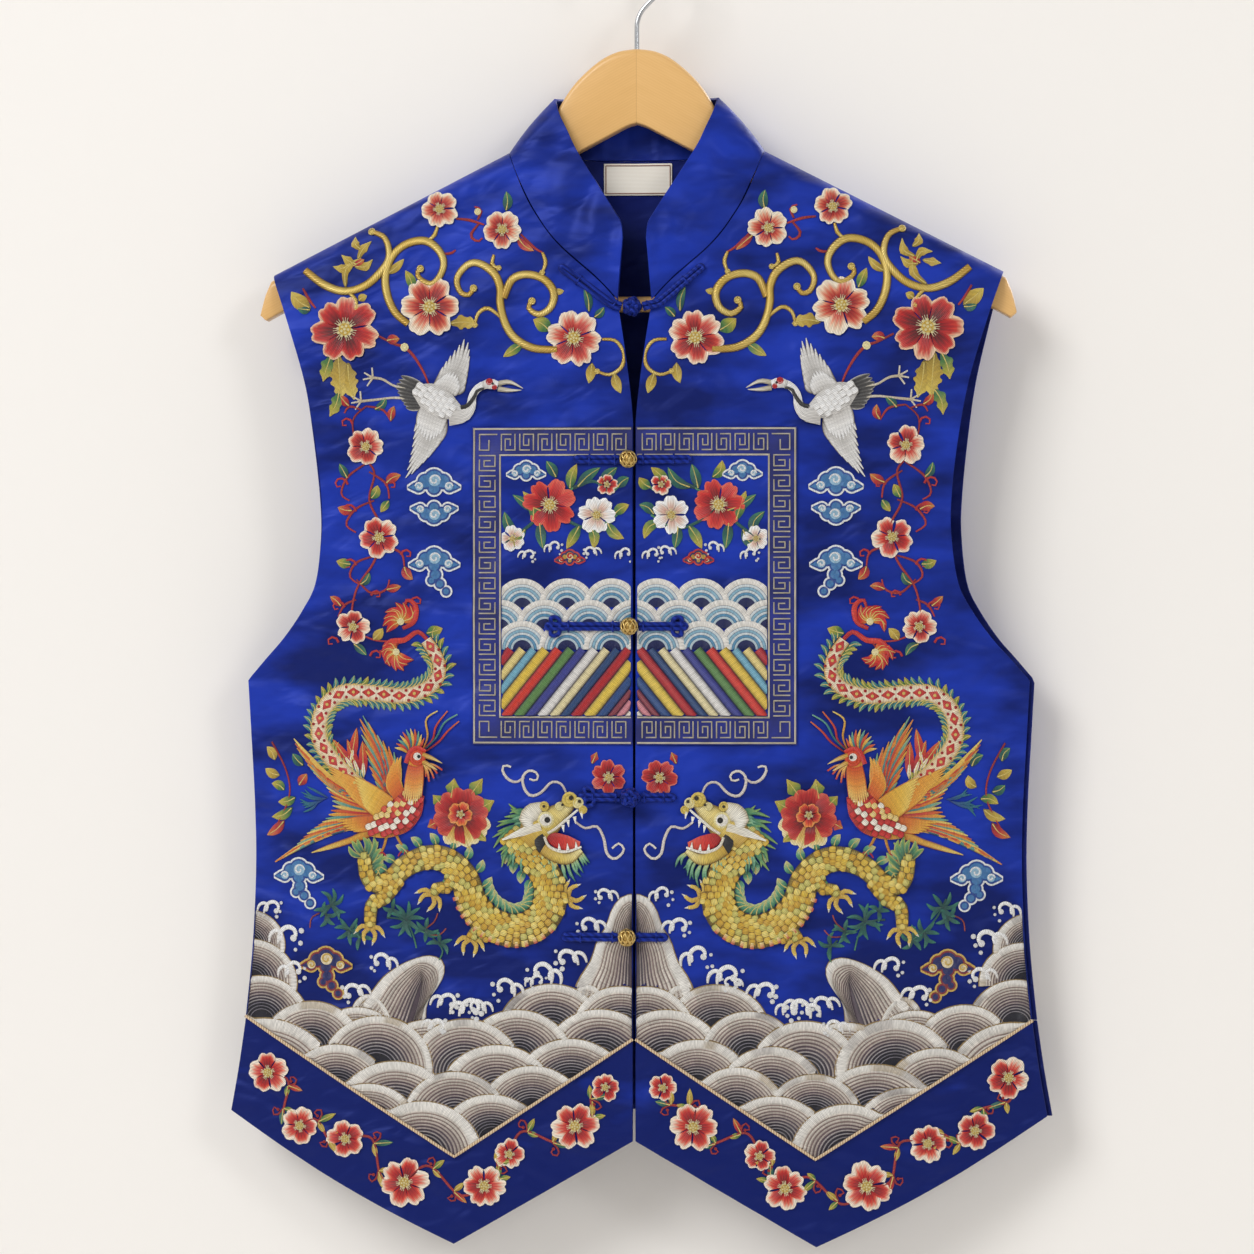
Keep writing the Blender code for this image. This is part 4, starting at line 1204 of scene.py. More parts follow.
# The rocks stand among the waves: an outline and the line its arcs close in on.
PEAK = (((-39, -654), (-37, -632), (-33, -620), (-26, -609), (-22, -597), (-17, -589), (-13, -578),
         (-7, -571), (0, -570), (8, -573), (13, -609), (15, -654)), ((0, -659), (-2, -588), (0, -659)))
SHOULDER = (
    ((-44, -662), (-42, -639), (-37, -628), (-27, -623), (-19, -628), (-15, -639), (-17, -662)),
    ((-27, -663), (-28, -638), (-27, -663)),
)
FINGER = (
    ((-172, -662), (-166, -641), (-158, -630), (-150, -620), (-140, -613), (-131, -609), (-122, -607),
     (-114, -610), (-113, -618), (-117, -626), (-122, -633), (-124, -643), (-122, -662)),
    ((-139, -669), (-126, -622), (-139, -669)),
)
KNUCKLE = (
    ((-173, -662), (-170, -641), (-164, -632), (-156, -631), (-149, -637), (-145, -646), (-144, -662)),
    ((-157, -664), (-158, -643), (-157, -664)),
)


def make_waves(name, side, draw):
    hoop = []
    for outline, core in (PEAK, SHOULDER, FINGER, KNUCKLE):
        shares = np.linspace(0.0, 1.0, 37)
        stacked_arcs(hoop, along(smooth(outline, 4))(shares), along(core)(shares), draw, WAVES,
                     wave_bands(0.6, 0.074, "#5A4A56"))
    for index, wave in enumerate(WAVES):
        plan = wave_bands(draw.uniform(0.85, 1.25), draw.uniform(0.058, 0.07), HEART,
                          draw.uniform(0.11, 0.18))
        middle, tilt = np.array(wave.middle), draw.uniform(-12.0, 12.0)
        outline = circle((0, 0), wave.radius, 32, 195.0, 210.0) * (draw.uniform(1.04, 1.2), 1.0)
        stacked_arcs(hoop, middle + turned(outline, tilt), middle, draw, WAVES[index + 1:], plan)

    def keep(x, z):
        return inside_front(x, z, side)

    sew(name, hoop if side < 0 else mirrored(hoop), silk, keep)


make_waves("embroidered_waves_left", -1, random.Random(21))
make_waves("embroidered_waves_right", 1, random.Random(22))


def make_back_waves(draw):
    """Three rows of the same waves along the foot of the back."""
    waves = [Wave((46.0 * (step - 5.5 + shift), z + draw.uniform(-3.0, 3.0)), 30.0)
             for z, shift in ((-628.0, 0.5), (-643.0, 0.0), (-658.0, 0.5)) for step in range(12)]
    hoop = []
    for index, wave in enumerate(waves):
        outline = circle(wave.middle, wave.radius, 24, 185.0, 190.0)
        stacked_arcs(hoop, outline, wave.middle, draw, waves[index + 1:])
    sew("embroidered_waves_back", mirrored(hoop, 1.0), silk, inside_back, back_y)


make_back_waves(random.Random(23))

# %% [markdown]
# White foam breaks off the crests: hooked curls, thick at the root and round at the tip,
# with drops beside them. Two sorts of cloud drift above, worked as rings within rings.

# %% Foam
FOAM = ("#E9E5E1", "#FFFFFF", "#FFFFFF")
FOAM_HOOKS = (          # root, size, lean
    ((-162, -633), 23, -1), ((-146, -616), 22, -1), ((-117, -638), 22, 1), ((-104, -643), 26, 1),
    ((-71, -631), 24, -1), ((-49, -623), 26, -1), ((-33, -612), 24, -1), ((-21, -593), 22, -1),
    ((-13, -574), 18, -1), ((-123, -652), 20, 1), ((-88, -641), 20, -1), ((-224, -584), 20, 1),
    ((-215, -602), 26, 1), ((-210, -622), 22, 1), ((-61, -625), 16, 1),
)
CURL = ((0, 0), (0.05, 0.5), (0.3, 0.95), (0.75, 1.15), (1.15, 0.98), (1.26, 0.62), (1.1, 0.4))


def foam_hook(hoop, root, size, lean, draw):
    """A thick curl that breaks over, a lesser one on its back and drops before it."""
    unit = 0.58 * size * PIXEL
    tilt = draw.uniform(-14.0, 14.0)
    for grow, x, z in ((1, 0, 0), (0.7, -0.62, 0.1)):
        points = turned(np.array(CURL) * grow + np.array([x, z]), tilt)
        points = points * np.array([lean * unit, unit]) + np.array(root)
        width = unit * (0.6 + 0.4 * grow) * np.array([0.16, 0.26, 0.32, 0.32, 0.28, 0.24])
        ribbon(hoop, smooth(points, 4), width, FOAM, lift=0.3, dome=0.8, rows=22)
        dot(hoop, points[-1], unit * 0.24 * (0.5 + 0.5 * grow), FOAM[1], lift=0.35)
    for x, z in ((1.55, 0.1), (1.25, -0.25), (1.6, 0.85)):
        place = np.array(root) + unit * np.array([lean * (x + draw.uniform(-0.1, 0.1)),
                                                  z + draw.uniform(-0.15, 0.15)])
        dot(hoop, place, unit * draw.uniform(0.13, 0.2), FOAM[1], lift=0.25)


def make_foam(draw):
    left, right = [], []
    for hoop in (left, right):
        for root, size, lean in FOAM_HOOKS:
            foam_hook(hoop, root, size, lean, draw)
    sew("embroidered_foam", left + mirrored(right), silk)


make_foam(random.Random(31))

# %% Clouds
CLOUD_LOBES = (
    (0, 0.2, 0.4), (-0.3, 0.12, 0.33), (0.3, 0.12, 0.33), (-0.52, -0.06, 0.26), (0.52, -0.06, 0.26),
    (0, -0.1, 0.3),
)
CLOUD_FOOT = ((0.04, -0.42, 0.28), (-0.1, -0.62, 0.22), (0.2, -0.74, 0.24), (0.42, -1, 0.22))
CLOUD_CURLS = ((0.02, 0.16, 0.2, 1), (-0.5, -0.04, 0.14, -1), (0.5, -0.04, 0.14, 1))


def spiral(centre, radius, way, turns=1.1):
    """A small curl that winds in on its centre."""
    angles = np.linspace(0.0, math.tau * turns, 18)
    reach = radius * (1.0 - 0.78 * angles / angles[-1])
    return centre + np.stack([way * reach * np.cos(angles), reach * np.sin(angles)], axis=-1)


def ruyi_cloud(hoop, middle, size, line, fill, flip=1.0, foot=True):
    """Lobes and two pointed ends in one outline, filled dark to pale, with curls laid on."""
    middle = np.array(middle, dtype=float)
    lobes = CLOUD_LOBES + (CLOUD_FOOT if foot else ())
    rim = 0.9 + 0.012 * size
    for shrink, colour, lift in ((0.0, line, 0.5), (1.0, fill[2], 0.75), (1.9, fill[1], 0.95)):
        for x, z, radius in lobes:
            spot = middle + size * np.array([x, z * flip])
            dark = max(size * radius - rim * shrink, 0.3)
            rings(hoop, circle(spot, dark, 18), spot, [(1, 0, colour, 0.05)], lift)
        for way in (-1, 1):
            ends = middle + size * np.array([[way * 0.5, -0.05 * flip], [way * 0.74, -0.07 * flip],
                                             [way * (0.92 - 0.03 * shrink), -0.08 * flip]])
            wide = np.maximum(size * np.array([0.5, 0.4, 0.16]) - 2.0 * rim * shrink, 0.1)
            ribbon(hoop, ends, wide, [colour], lift=lift, dome=0.05, rows=6)
    for x, z, radius, way in CLOUD_CURLS:
        spot = middle + size * np.array([x, z * flip])
        rings(hoop, circle(spot, size * radius, 18), spot, [(1.0, 0.0, fill[0], 0.15)], 1.1)
        ribbon(hoop, spiral(spot, size * radius, way), [0.8, 1.1, 0.9], [line], lift=1.25, dome=0.4,
               across=2, rows=16)


BLUE_CLOUD = ("#F2F4F6", ("#9CC4DE", "#3F7DB8", "#17479A"))
GOLD_CLOUD = ("#D8B45A", ("#F0E0B8", "#1B2468", "#8C2B33"))
clouds = []
for place, size, flip, foot in (
        ((-119, -328), 17.7, 1, False), ((-119, -343), 15.9, -1, False), ((-119, -374), 17.1, 1, True),
        ((-202, -560), 17.1, 1, True)):
    ruyi_cloud(clouds, place, size, *BLUE_CLOUD, flip=flip, foot=foot)
ruyi_cloud(clouds, (-185, -613), 17.7, *GOLD_CLOUD)
sew("embroidered_clouds", clouds + mirrored(clouds), silk)

# %% [markdown]
# Flowers, leaves and scrolling stems are the ordinary ornament of such a vest. A flower is
# a ring of petals in long and short stitch, dark red at the middle and cream at the rim,
# with a knotted gold eye. The scrolls are a thick gold cord laid on edge and couched down.

# %% Flowers and leaves
RED_PETAL = ("#4E0A12", "#A00E18", "#C4151B", "#D8402C", "#F4D2AE")
PALE_PETAL = ("#7E1018", "#CC2A20", "#EC8A66", "#F8DEBE", "#FFF4E0")
PINK_PETAL = ("#7E1018", "#C8221E", "#E2604A", "#F8CFB0", "#FFF0DC")
HEM_PETAL = ("#7A0C14", "#BC121A", "#D8261E", "#EE7858", "#FAE2CA", "#FFF2E0")
EYE, STAMEN, KNOT = "#D9B44A", "#FBF0C8", "#FFF2B8"
LEAF_GREEN = ("#24573D", "#4C7F3F", "#A9A63C", "#D9BF4D")
LEAF_GOLD = ("#8F7A2C", "#C7A740", "#E3CC62")
LEAF_RED = ("#7C1520", "#C02A2C", "#E08A3C")
LEAF_TEAL = ("#123F3E", "#1F6158", "#4F8F63")
VINE_RED = ("#8E1A22", "#B8302B")
VEIN = "#E8D27A"


def flower(hoop, middle, radius, petals, colours, draw, lift=0.3):
    """Petals round a knotted eye; every second petal lies a little higher."""
    start = draw.uniform(0.0, math.tau)
    for index in range(petals):
        turn = start + math.tau * (index + draw.uniform(-0.08, 0.08)) / petals
        reach = radius * draw.uniform(0.93, 1.05)
        width = 1.6 * radius * math.sin(math.pi / petals) * draw.uniform(0.95, 1.06)
        petal(hoop, middle, turn, radius * 0.12, reach, width, colours,
              lift + 0.3 * (index % 2) + 0.1 * draw.random(), draw.uniform(0.05, 0.15),
              draw.uniform(0.9, 3.0))
        for spread in (-0.22, 0, 0.22):
            way = turn + spread
            ends = [polar(middle, share * radius, way) for share in (0.16, 0.34)]
            ribbon(hoop, ends, [0.45, 0.35], [STAMEN], lift=lift + 0.95, dome=0.25, across=2, rows=2)
    dot(hoop, middle, radius * 0.19, EYE, lift=lift + 0.8, dome=0.8, steps=12)
    for share, knots in ((0, 1), (0.1, 5), (0.2, 10)):
        for index in range(knots):
            spot = polar(middle, radius * share, start + math.tau * index / knots)
            dot(hoop, spot, radius * 0.045, KNOT, lift=lift + 1.5 - share * 2.5, dome=0.5, steps=6)


def leaf(hoop, base, tip, width, colours, bend=0.0, teeth=0, lift=0.15):
    """A leaf of slanted stitches with a vein; `teeth` cuts its edge."""
    base, tip = np.array(base, dtype=float), np.array(tip, dtype=float)
    run = tip - base
    middle = (base + tip) / 2 + bend * np.array([run[1], -run[0]])
    path = smooth([base, middle, tip], 6)
    shape = [0.08, 0.62, 0.96, 1, 0.85, 0.55, 0.04]
    if teeth:
        dense = np.interp(np.linspace(0, 6, 4 * teeth + 1), range(7), shape)
        shape = dense * (1.0 - 0.28 * (np.arange(4 * teeth + 1) % 4 >= 2))
    ribbon(hoop, path, width * np.array(shape), colours, lift=lift, dome=0.55, grain="slanted",
           rows=max(10, 4 * teeth))
    ribbon(hoop, path[1:-1], [0.75, 0.3], [VEIN], lift=lift + 0.5, dome=0.3, across=2, rows=6)


def stem(hoop, points, width, colours, lift=0.12, dome=0.55):
    ribbon(hoop, smooth(points, 6), width, colours, lift=lift, dome=dome, across=3)


# %% Shoulder scrolls
SCROLL = ("#C79D3E", "#E6CB72", "#D8B552", "#E9D07C", "#C9A042")
SCROLLS = (
    ((-198, -199), (-186, -208), (-173, -212), (-160, -208), (-150, -198), (-147, -190), (-150, -180),
     (-158, -176)),
    ((-135, -232), (-143, -225), (-148, -214), (-149, -202), (-145, -191), (-137, -184), (-126, -182),
     (-118, -187), (-114, -195), (-116, -203), (-121, -208), (-127, -206), (-130, -202), (-128, -199)),
    ((-46, -248), (-60, -247), (-71, -241), (-77, -232), (-80, -220), (-80, -211), (-84, -202),
     (-93, -196), (-100, -197), (-106, -205), (-104, -213), (-99, -215), (-96, -211)),
    ((-78, -217), (-73, -206), (-64, -203), (-54, -206), (-48, -214), (-50, -223), (-57, -227),
     (-63, -223), (-61, -219)),
)
SMALL_SCROLLS = (
    ((-79, -229), (-87, -223), (-93, -226), (-95, -233)), ((-118, -173), (-120, -179), (-124, -182)),
    ((-172, -212), (-167, -217), (-166, -222)),
    ((-19, -242), (-11, -243), (-6, -251), (-8, -259), (-15, -263), (-22, -261)),
    ((-84, -191), (-85, -197), (-81, -199)), ((-55, -190), (-53, -196), (-55, -202)),
)


def make_scrolls():
    hoop = []
    # The dark brown rim on both edges of every cord is painted shade where the rounded cord turns away.
    for points in SCROLLS:
        width = [4.4, 5, 4.7, 5, 4.1, 2.9]
        ribbon(hoop, smooth(points, 6), width, SCROLL, lift=0.15, dome=1.5, across=6,
               grain="twisted", rim="#7B5A1E")
        dot(hoop, points[-1], 2.4, SCROLL[1], lift=0.4, dome=1.4)
    for points in SMALL_SCROLLS:
        ribbon(hoop, smooth(points, 6), [1.8, 2.7, 1.8], SCROLL, lift=0.12, dome=0.9,
               grain="twisted", rim="#7B5A1E")
        dot(hoop, points[-1], 1.8, SCROLL[1], lift=0.2, dome=1.0)
    sew("couched_gold_scrolls", hoop + mirrored(hoop), gold)


make_scrolls()

# %% Shoulder flowers
def shoulder_flowers(draw):
    hoop = []
    for middle, radius, petals, colours in (
            ((-173, -235), 21.2, 7, RED_PETAL), ((-122, -222), 18.3, 6, PALE_PETAL),
            ((-36, -241), 17.7, 6, PINK_PETAL), ((-117, -163), 11.8, 5, PALE_PETAL),
            ((-79, -176), 12.4, 5, PALE_PETAL)):
        flower(hoop, middle, radius, petals, colours, draw, lift=0.5)
    for base, tip, width, colours, teeth in (
            ((-177, -250), (-175, -277), 13, LEAF_GOLD, 5),
            ((-181, -250), (-186, -266), 9, LEAF_GREEN, 3),
            ((-171, -255), (-167, -277), 11, LEAF_GOLD, 4),
            ((-176, -271), (-182, -287), 8, LEAF_GREEN, 3),
            ((-110, -232), (-93, -233), 9, LEAF_GOLD, 3), ((-66, -244), (-78, -252), 6, LEAF_GREEN, 0),
            ((-50, -237), (-60, -230), 9, LEAF_GREEN, 0), ((-27, -226), (-30, -211), 5, LEAF_TEAL, 0),
            ((-24, -229), (-18, -223), 5, LEAF_TEAL, 0), ((-25, -256), (-27, -268), 6, LEAF_GOLD, 0),
            ((-12, -262), (-8, -274), 6, LEAF_GOLD, 0), ((-194, -222), (-206, -212), 9, LEAF_GOLD, 0),
            ((-194, -223), (-202, -222), 6, LEAF_TEAL, 0),
            ((-165, -218), (-160, -215), 5, LEAF_GOLD, 0), ((-77, -165), (-77, -153), 6, LEAF_TEAL, 0),
            ((-70, -180), (-60, -189), 5, LEAF_RED, 0), ((-148, -202), (-138, -193), 5, LEAF_GOLD, 0),
            ((-132, -212), (-137, -200), 6, LEAF_GREEN, 0),
            ((-148, -242), (-140, -241), 6, LEAF_RED, 0), ((-48, -213), (-42, -213), 4, LEAF_GOLD, 0)):
        leaf(hoop, base, tip, width, colours, bend=draw.uniform(-0.12, 0.12), teeth=teeth)
    for base, tip in (
            ((-173, -210), (-164, -192)), ((-166, -196), (-176, -190)), ((-166, -193), (-158, -182)),
            ((-168, -197), (-157, -193)), ((-164, -187), (-168, -179)), ((-170, -195), (-181, -197))):
        leaf(hoop, base, tip, 5.5, LEAF_GOLD, bend=draw.uniform(-0.3, 0.3), teeth=2)
    leaf(hoop, (-169, -197), (-162, -193), 5.0, LEAF_RED)
    for points in (
            ((-107, -169), (-99, -170), (-90, -173)), ((-94, -170), (-92, -164), (-96, -162)),
            ((-93, -172), (-98, -179), (-94, -183), (-91, -181)),
            ((-68, -179), (-60, -187), (-55, -190)),
            ((-153, -239), (-143, -244), (-137, -246), (-131, -252), (-125, -262), (-122, -270)),
            ((-199, -210), (-195, -217), (-191, -222)), ((-114, -190), (-110, -190), (-107, -188))):
        stem(hoop, points, [1.2, 1.8, 1], VINE_RED)
    dot(hoop, (-137, -246), 2.6, KNOT, lift=0.4)
    dot(hoop, (-94, -165), 2.2, KNOT, lift=0.4)
    return hoop


sew_pair("embroidered_shoulder_flowers", shoulder_flowers, 41)

# %% Side sprays
def side_spray(draw):
    """Three blossoms on a red vine beside each armhole, with two flame-shaped buds."""
    hoop = []
    for points in (
            ((-160, -281), (-168, -290), (-164, -308), (-155, -320), (-158, -337), (-150, -355),
             (-155, -373), (-166, -390), (-168, -411), (-155, -420), (-139, -420)),
            ((-160, -315), (-171, -323), (-175, -333), (-170, -337)),
            ((-158, -320), (-148, -327), (-146, -336)),
            ((-155, -337), (-166, -342), (-172, -351), (-166, -356)),
            ((-150, -364), (-139, -368), (-137, -376)),
            ((-155, -370), (-166, -374), (-170, -382), (-164, -387)),
            ((-166, -396), (-173, -399), (-177, -406)),
            ((-166, -384), (-157, -392), (-148, -390), (-146, -384)),
            ((-139, -420), (-148, -429), (-152, -426)), ((-160, -281), (-150, -283), (-145, -290)),
            ((-163, -283), (-170, -281), (-173, -285))):
        stem(hoop, points, [1, 1.5, 0.9], VINE_RED)
    for root, reach, way in (
            ((-168, -290), 7, -1), ((-148, -327), 6, 1), ((-171, -326), 8, -1),
            ((-166, -342), 8.5, -1), ((-139, -368), 6.5, 1), ((-166, -374), 7.5, -1),
            ((-157, -392), 6, 1), ((-173, -399), 7.5, -1), ((-177, -420), 7, -1),
            ((-158, -428), 7, 1), ((-146, -403), 7, 1), ((-133, -396), 6.5, 1)):
        curl = np.array(root) + spiral(np.array([way * reach * 0.6, -1.5]), reach * 0.6, -way, 0.85)
        stem(hoop, curl, [1.5, 1.2, 0.8], ("#B3161F", "#D03A30"))
    for base, tip, width, colours in (
            ((-145, -290), (-143, -281), 5, LEAF_RED), ((-171, -324), (-176, -315), 5, LEAF_TEAL),
            ((-148, -327), (-139, -322), 6, LEAF_RED), ((-157, -336), (-153, -328), 6, LEAF_GREEN),
            ((-168, -343), (-177, -341), 6, LEAF_RED), ((-146, -337), (-151, -344), 5, LEAF_GREEN),
            ((-137, -376), (-132, -384), 6, LEAF_RED), ((-169, -375), (-178, -373), 6, LEAF_GREEN),
            ((-164, -387), (-158, -380), 5, LEAF_TEAL), ((-175, -400), (-182, -394), 5, LEAF_RED),
            ((-148, -390), (-139, -388), 5, LEAF_RED), ((-156, -420), (-150, -413), 6, LEAF_GOLD),
            ((-124, -416), (-114, -413), 7, LEAF_GREEN), ((-170, -281), (-176, -274), 5, LEAF_RED),
            ((-155, -283), (-148, -276), 5, LEAF_TEAL), ((-168, -422), (-160, -429), 5, LEAF_TEAL)):
        leaf(hoop, base, tip, width, colours, bend=draw.uniform(-0.15, 0.15))
    for middle, radius, petals, colours in (
            ((-160, -305), 11.8, 5, PINK_PETAL), ((-152, -359), 12.4, 5, HEM_PETAL),
            ((-168, -412), 10.6, 5, PINK_PETAL)):
        flower(hoop, middle, radius, petals, colours, draw)
    for middle, first in (((-139, -409), 40), ((-142, -427), 160)):
        for index in range(9):
            tip = polar(middle, draw.uniform(8.5, 12.5), math.radians(first + 22.0 * index))
            leaf(hoop, middle, tip, 4.8, ("#E0A030", "#D8281E", "#B3161F"),
                 bend=draw.uniform(0.1, 0.45), lift=0.3 + 0.05 * (index % 2))
        dot(hoop, middle, 2.2, KNOT, lift=0.9)
    for hook in (((-123, -420), (-129, -415), (-137, -420), (-146, -421), (-150, -428), (-146, -435)),
                 ((-138, -413), (-131, -409), (-130, -400), (-135, -396), (-137, -401))):
        ribbon(hoop, smooth(hook, 5), [2.2, 3.4, 1.4], ("#B3161F", "#DC3A2A", "#B3161F"), lift=0.4,
               dome=0.7)
    return hoop


sew_pair("embroidered_side_sprays", side_spray, 51)

# %% Hem flowers
HEM_FLOWERS = (
    ((-221, -679), 13, 5), ((-201, -710), 11.8, 5), ((-173, -717), 11.8, 5), ((-137, -742), 15.3, 6),
    ((-89, -743), 13.6, 6), ((-74, -724), 9.4, 5), ((-35, -707), 14.8, 6), ((-17, -684), 8.8, 5),
)


def hem_flowers(draw):
    """Blossoms along the hem band, linked by a curling red vine."""
    hoop = []
    middles = [np.array(place, dtype=float) for place, _, _ in HEM_FLOWERS]
    for before, after in zip(middles, middles[1:]):
        run = after - before
        swing = np.array([-run[1], run[0]]) * draw.choice([-0.22, 0.22])
        stem(hoop, [before, before + run * 0.3 + swing, before + run * 0.7 - swing * 0.6, after],
             [1.6, 1.4], VINE_RED)
        for share, way in ((0.35, 1), (0.62, -1)):
            root = before + run * share + swing * (0.8 if share < 0.5 else -0.4)
            ahead = run / np.linalg.norm(run)
            across = np.array([-ahead[1], ahead[0]]) * way
            size = draw.uniform(6.0, 8.5)
            curl = [root, root + across * size * 0.6 + ahead * 1.5, root + across * size,
                    root + across * size * 0.7 - ahead * 3.6, root + across * size * 0.45 - ahead]
            stem(hoop, curl, [1.3, 1.1, 0.8], VINE_RED)
            dot(hoop, curl[-1], 1.0, "#B8302B", lift=0.2)
            tip = root + (across * 0.9 + ahead * 1.1) * draw.uniform(6.0, 9.0)
            leaf(hoop, root, tip, 3.8, draw.choice([LEAF_GREEN, LEAF_GOLD, LEAF_RED, LEAF_TEAL]))
            tip = root + (-across * 0.7 + ahead * 0.8) * draw.uniform(6.0, 8.0)
            leaf(hoop, root, tip, 3.4, draw.choice([LEAF_GREEN, LEAF_GOLD]))
    for place, radius, petals in HEM_FLOWERS:
        flower(hoop, place, radius, petals, HEM_PETAL, draw, lift=0.35)
    return hoop


sew_pair("embroidered_hem_flowers", hem_flowers, 61, keep_in=inside_band)

# %% [markdown]
# Birds and dragons are built up as an embroiderer works them: first the long feathers, then
# the shorter ones over their roots, then the body's scales, each row lying on the one
# behind it, and the head last. One helper spreads feathers between two lines of points, one
# fans them out in changing colours and another covers a path with scales.

# %% Feathers and scales
def feather(hoop, root, tip, width, colours, lift=0.3, rim=None, bend=0.0, dome=0.45):
    root, tip = np.asarray(root, dtype=float), np.asarray(tip, dtype=float)
    run = tip - root
    middle = (root + tip) / 2 + bend * np.array([run[1], -run[0]])
    shape = width * np.array([0.45, 0.85, 1, 0.95, 0.7, 0.15])
    ribbon(hoop, smooth([root, middle, tip], 5), shape, colours, lift=lift, dome=dome,
           grain="slanted", rows=9, rim=rim)


def feathers(hoop, roots, tips, count, width, colours, lift=0.3, **how):
    """Feathers from points along one line to points along another."""
    roots, tips = along(smooth(roots, 4)), along(smooth(tips, 4))
    for index in range(count):
        f = index / (count - 1)
        feather(hoop, roots(f), tips(f), width, colours, lift + 0.05 * (index % 2), **how)


def fan(hoop, roots, tips, count, width, palettes, lift, rise, bend, unbend=0.0, rims=(None,)):
    """Feathers of changing colours, each laid a little over the one before it."""
    roots, tips = along(roots), along(smooth(tips, 4))
    for index in range(count):
        f = index / (count - 1)
        feather(hoop, roots(f), tips(f), width, palettes[index % len(palettes)],
                lift + rise * index, rims[index % len(rims)], bend - unbend * index)


def scales(hoop, path, widths, size, palettes, lift=0.5):
    """Rows of flat scales with dark rims over a path, each row half a scale over."""
    path = np.asarray(path, dtype=float)
    rows = max(int(length_of(path) / (size * 0.9)), 2)
    line = along(path)
    s = np.array([0, 0.14, 0.5, 0.86, 1])[:, None]
    t = np.array([-1, -0.8, 0, 0.8, 1])[None, :]
    inner = np.outer([0, 0.75, 1, 0.75, 0], [0, 0.75, 1, 0.75, 0])
    half = 0.58 * size * (0.68 + 0.32 * np.sin(math.pi * s))
    for row in range(rows + 1):
        f = 1.0 - row / rows
        centre, ahead = line(f), heading(line, f)
        width = float(read_along(widths, f))
        count = max(int(round(width / size)), 1)
        for index in range(count):
            across = (index + 0.5 + 0.5 * (row % 2)) / count * 2.0 - 1.0
            if across > 0.98:
                continue
            place = centre + np.array([ahead[1], -ahead[0]]) * across * width / 2
            out = 1.2 * size * s * (1.0 - 0.15 * t * t)
            x = place[0] + ahead[0] * out + ahead[1] * half * t
            z = place[1] + ahead[1] * out - ahead[0] * half * t
            rise = lift + 0.8 * math.sqrt(max(1.0 - across ** 2, 0.0)) + 0.15 * s + 0.3 * inner
            colour = tones(palettes[(row * 7 + index * 13) % len(palettes)], inner)
            hoop.append(Strip(x, z, rise, colour, np.stack([half * t, out], axis=-1)))


def strands(hoop, roots, tips, count, width, colours, draw, lift=0.6, rim=None):
    """Loose strands of uneven length and bend, for a mane, a beard or a fringe."""
    roots, tips = along(smooth(roots, 4)), along(smooth(tips, 4))
    for index in range(count):
        f = index / (count - 1)
        root = roots(f)
        tip = root + (tips(f) - root) * draw.uniform(0.7, 1.12)
        feather(hoop, root, tip, width, colours, lift + 0.06 * (index % 3), rim,
                draw.uniform(-0.22, 0.22), 0.6)


def patch_of(hoop, line, widths, colours, lift=0.3, dome=0.8, rim=None, grain="across"):
    """A filled form along a smoothed line, such as a body, a neck or a leg."""
    ribbon(hoop, smooth(line, 6), widths, colours, lift=lift, dome=dome, across=6, rim=rim, grain=grain)


def claw(hoop, wrist, way, size, colours, draw):
    """A foot of four bent toes, each with a pale nail."""
    for spread in (-68, -24, 20, 64):
        turn = math.radians(way + spread + draw.uniform(-6.0, 6.0))
        ahead = np.array([math.cos(turn), math.sin(turn)])
        aside = np.array([-ahead[1], ahead[0]]) * (0.25 if spread > 0 else -0.25)
        knuckle = wrist + ahead * size * 0.55 + aside * size
        end = wrist + ahead * size
        ribbon(hoop, smooth([wrist, knuckle, end], 3), [2.6, 2.8, 2], colours, lift=0.4, dome=0.8,
               across=3)
        ribbon(hoop, [end, end + ahead * size * 0.22 - aside * size * 0.5], [1.5, 0.2],
               ["#F4EEDC"], lift=0.5, dome=0.5, across=2, rows=3)


# %% Cranes
CRANE_WHITE = ("#CFCBC6", "#F4F2EF", "#FFFFFF")
CRANE_GREY = ("#8F8A86", "#DAD7D3", "#FBFAF8")
CRANE_BLACK = ("#17161B", "#3A3836")
QUILL_LINE = "#54463A"


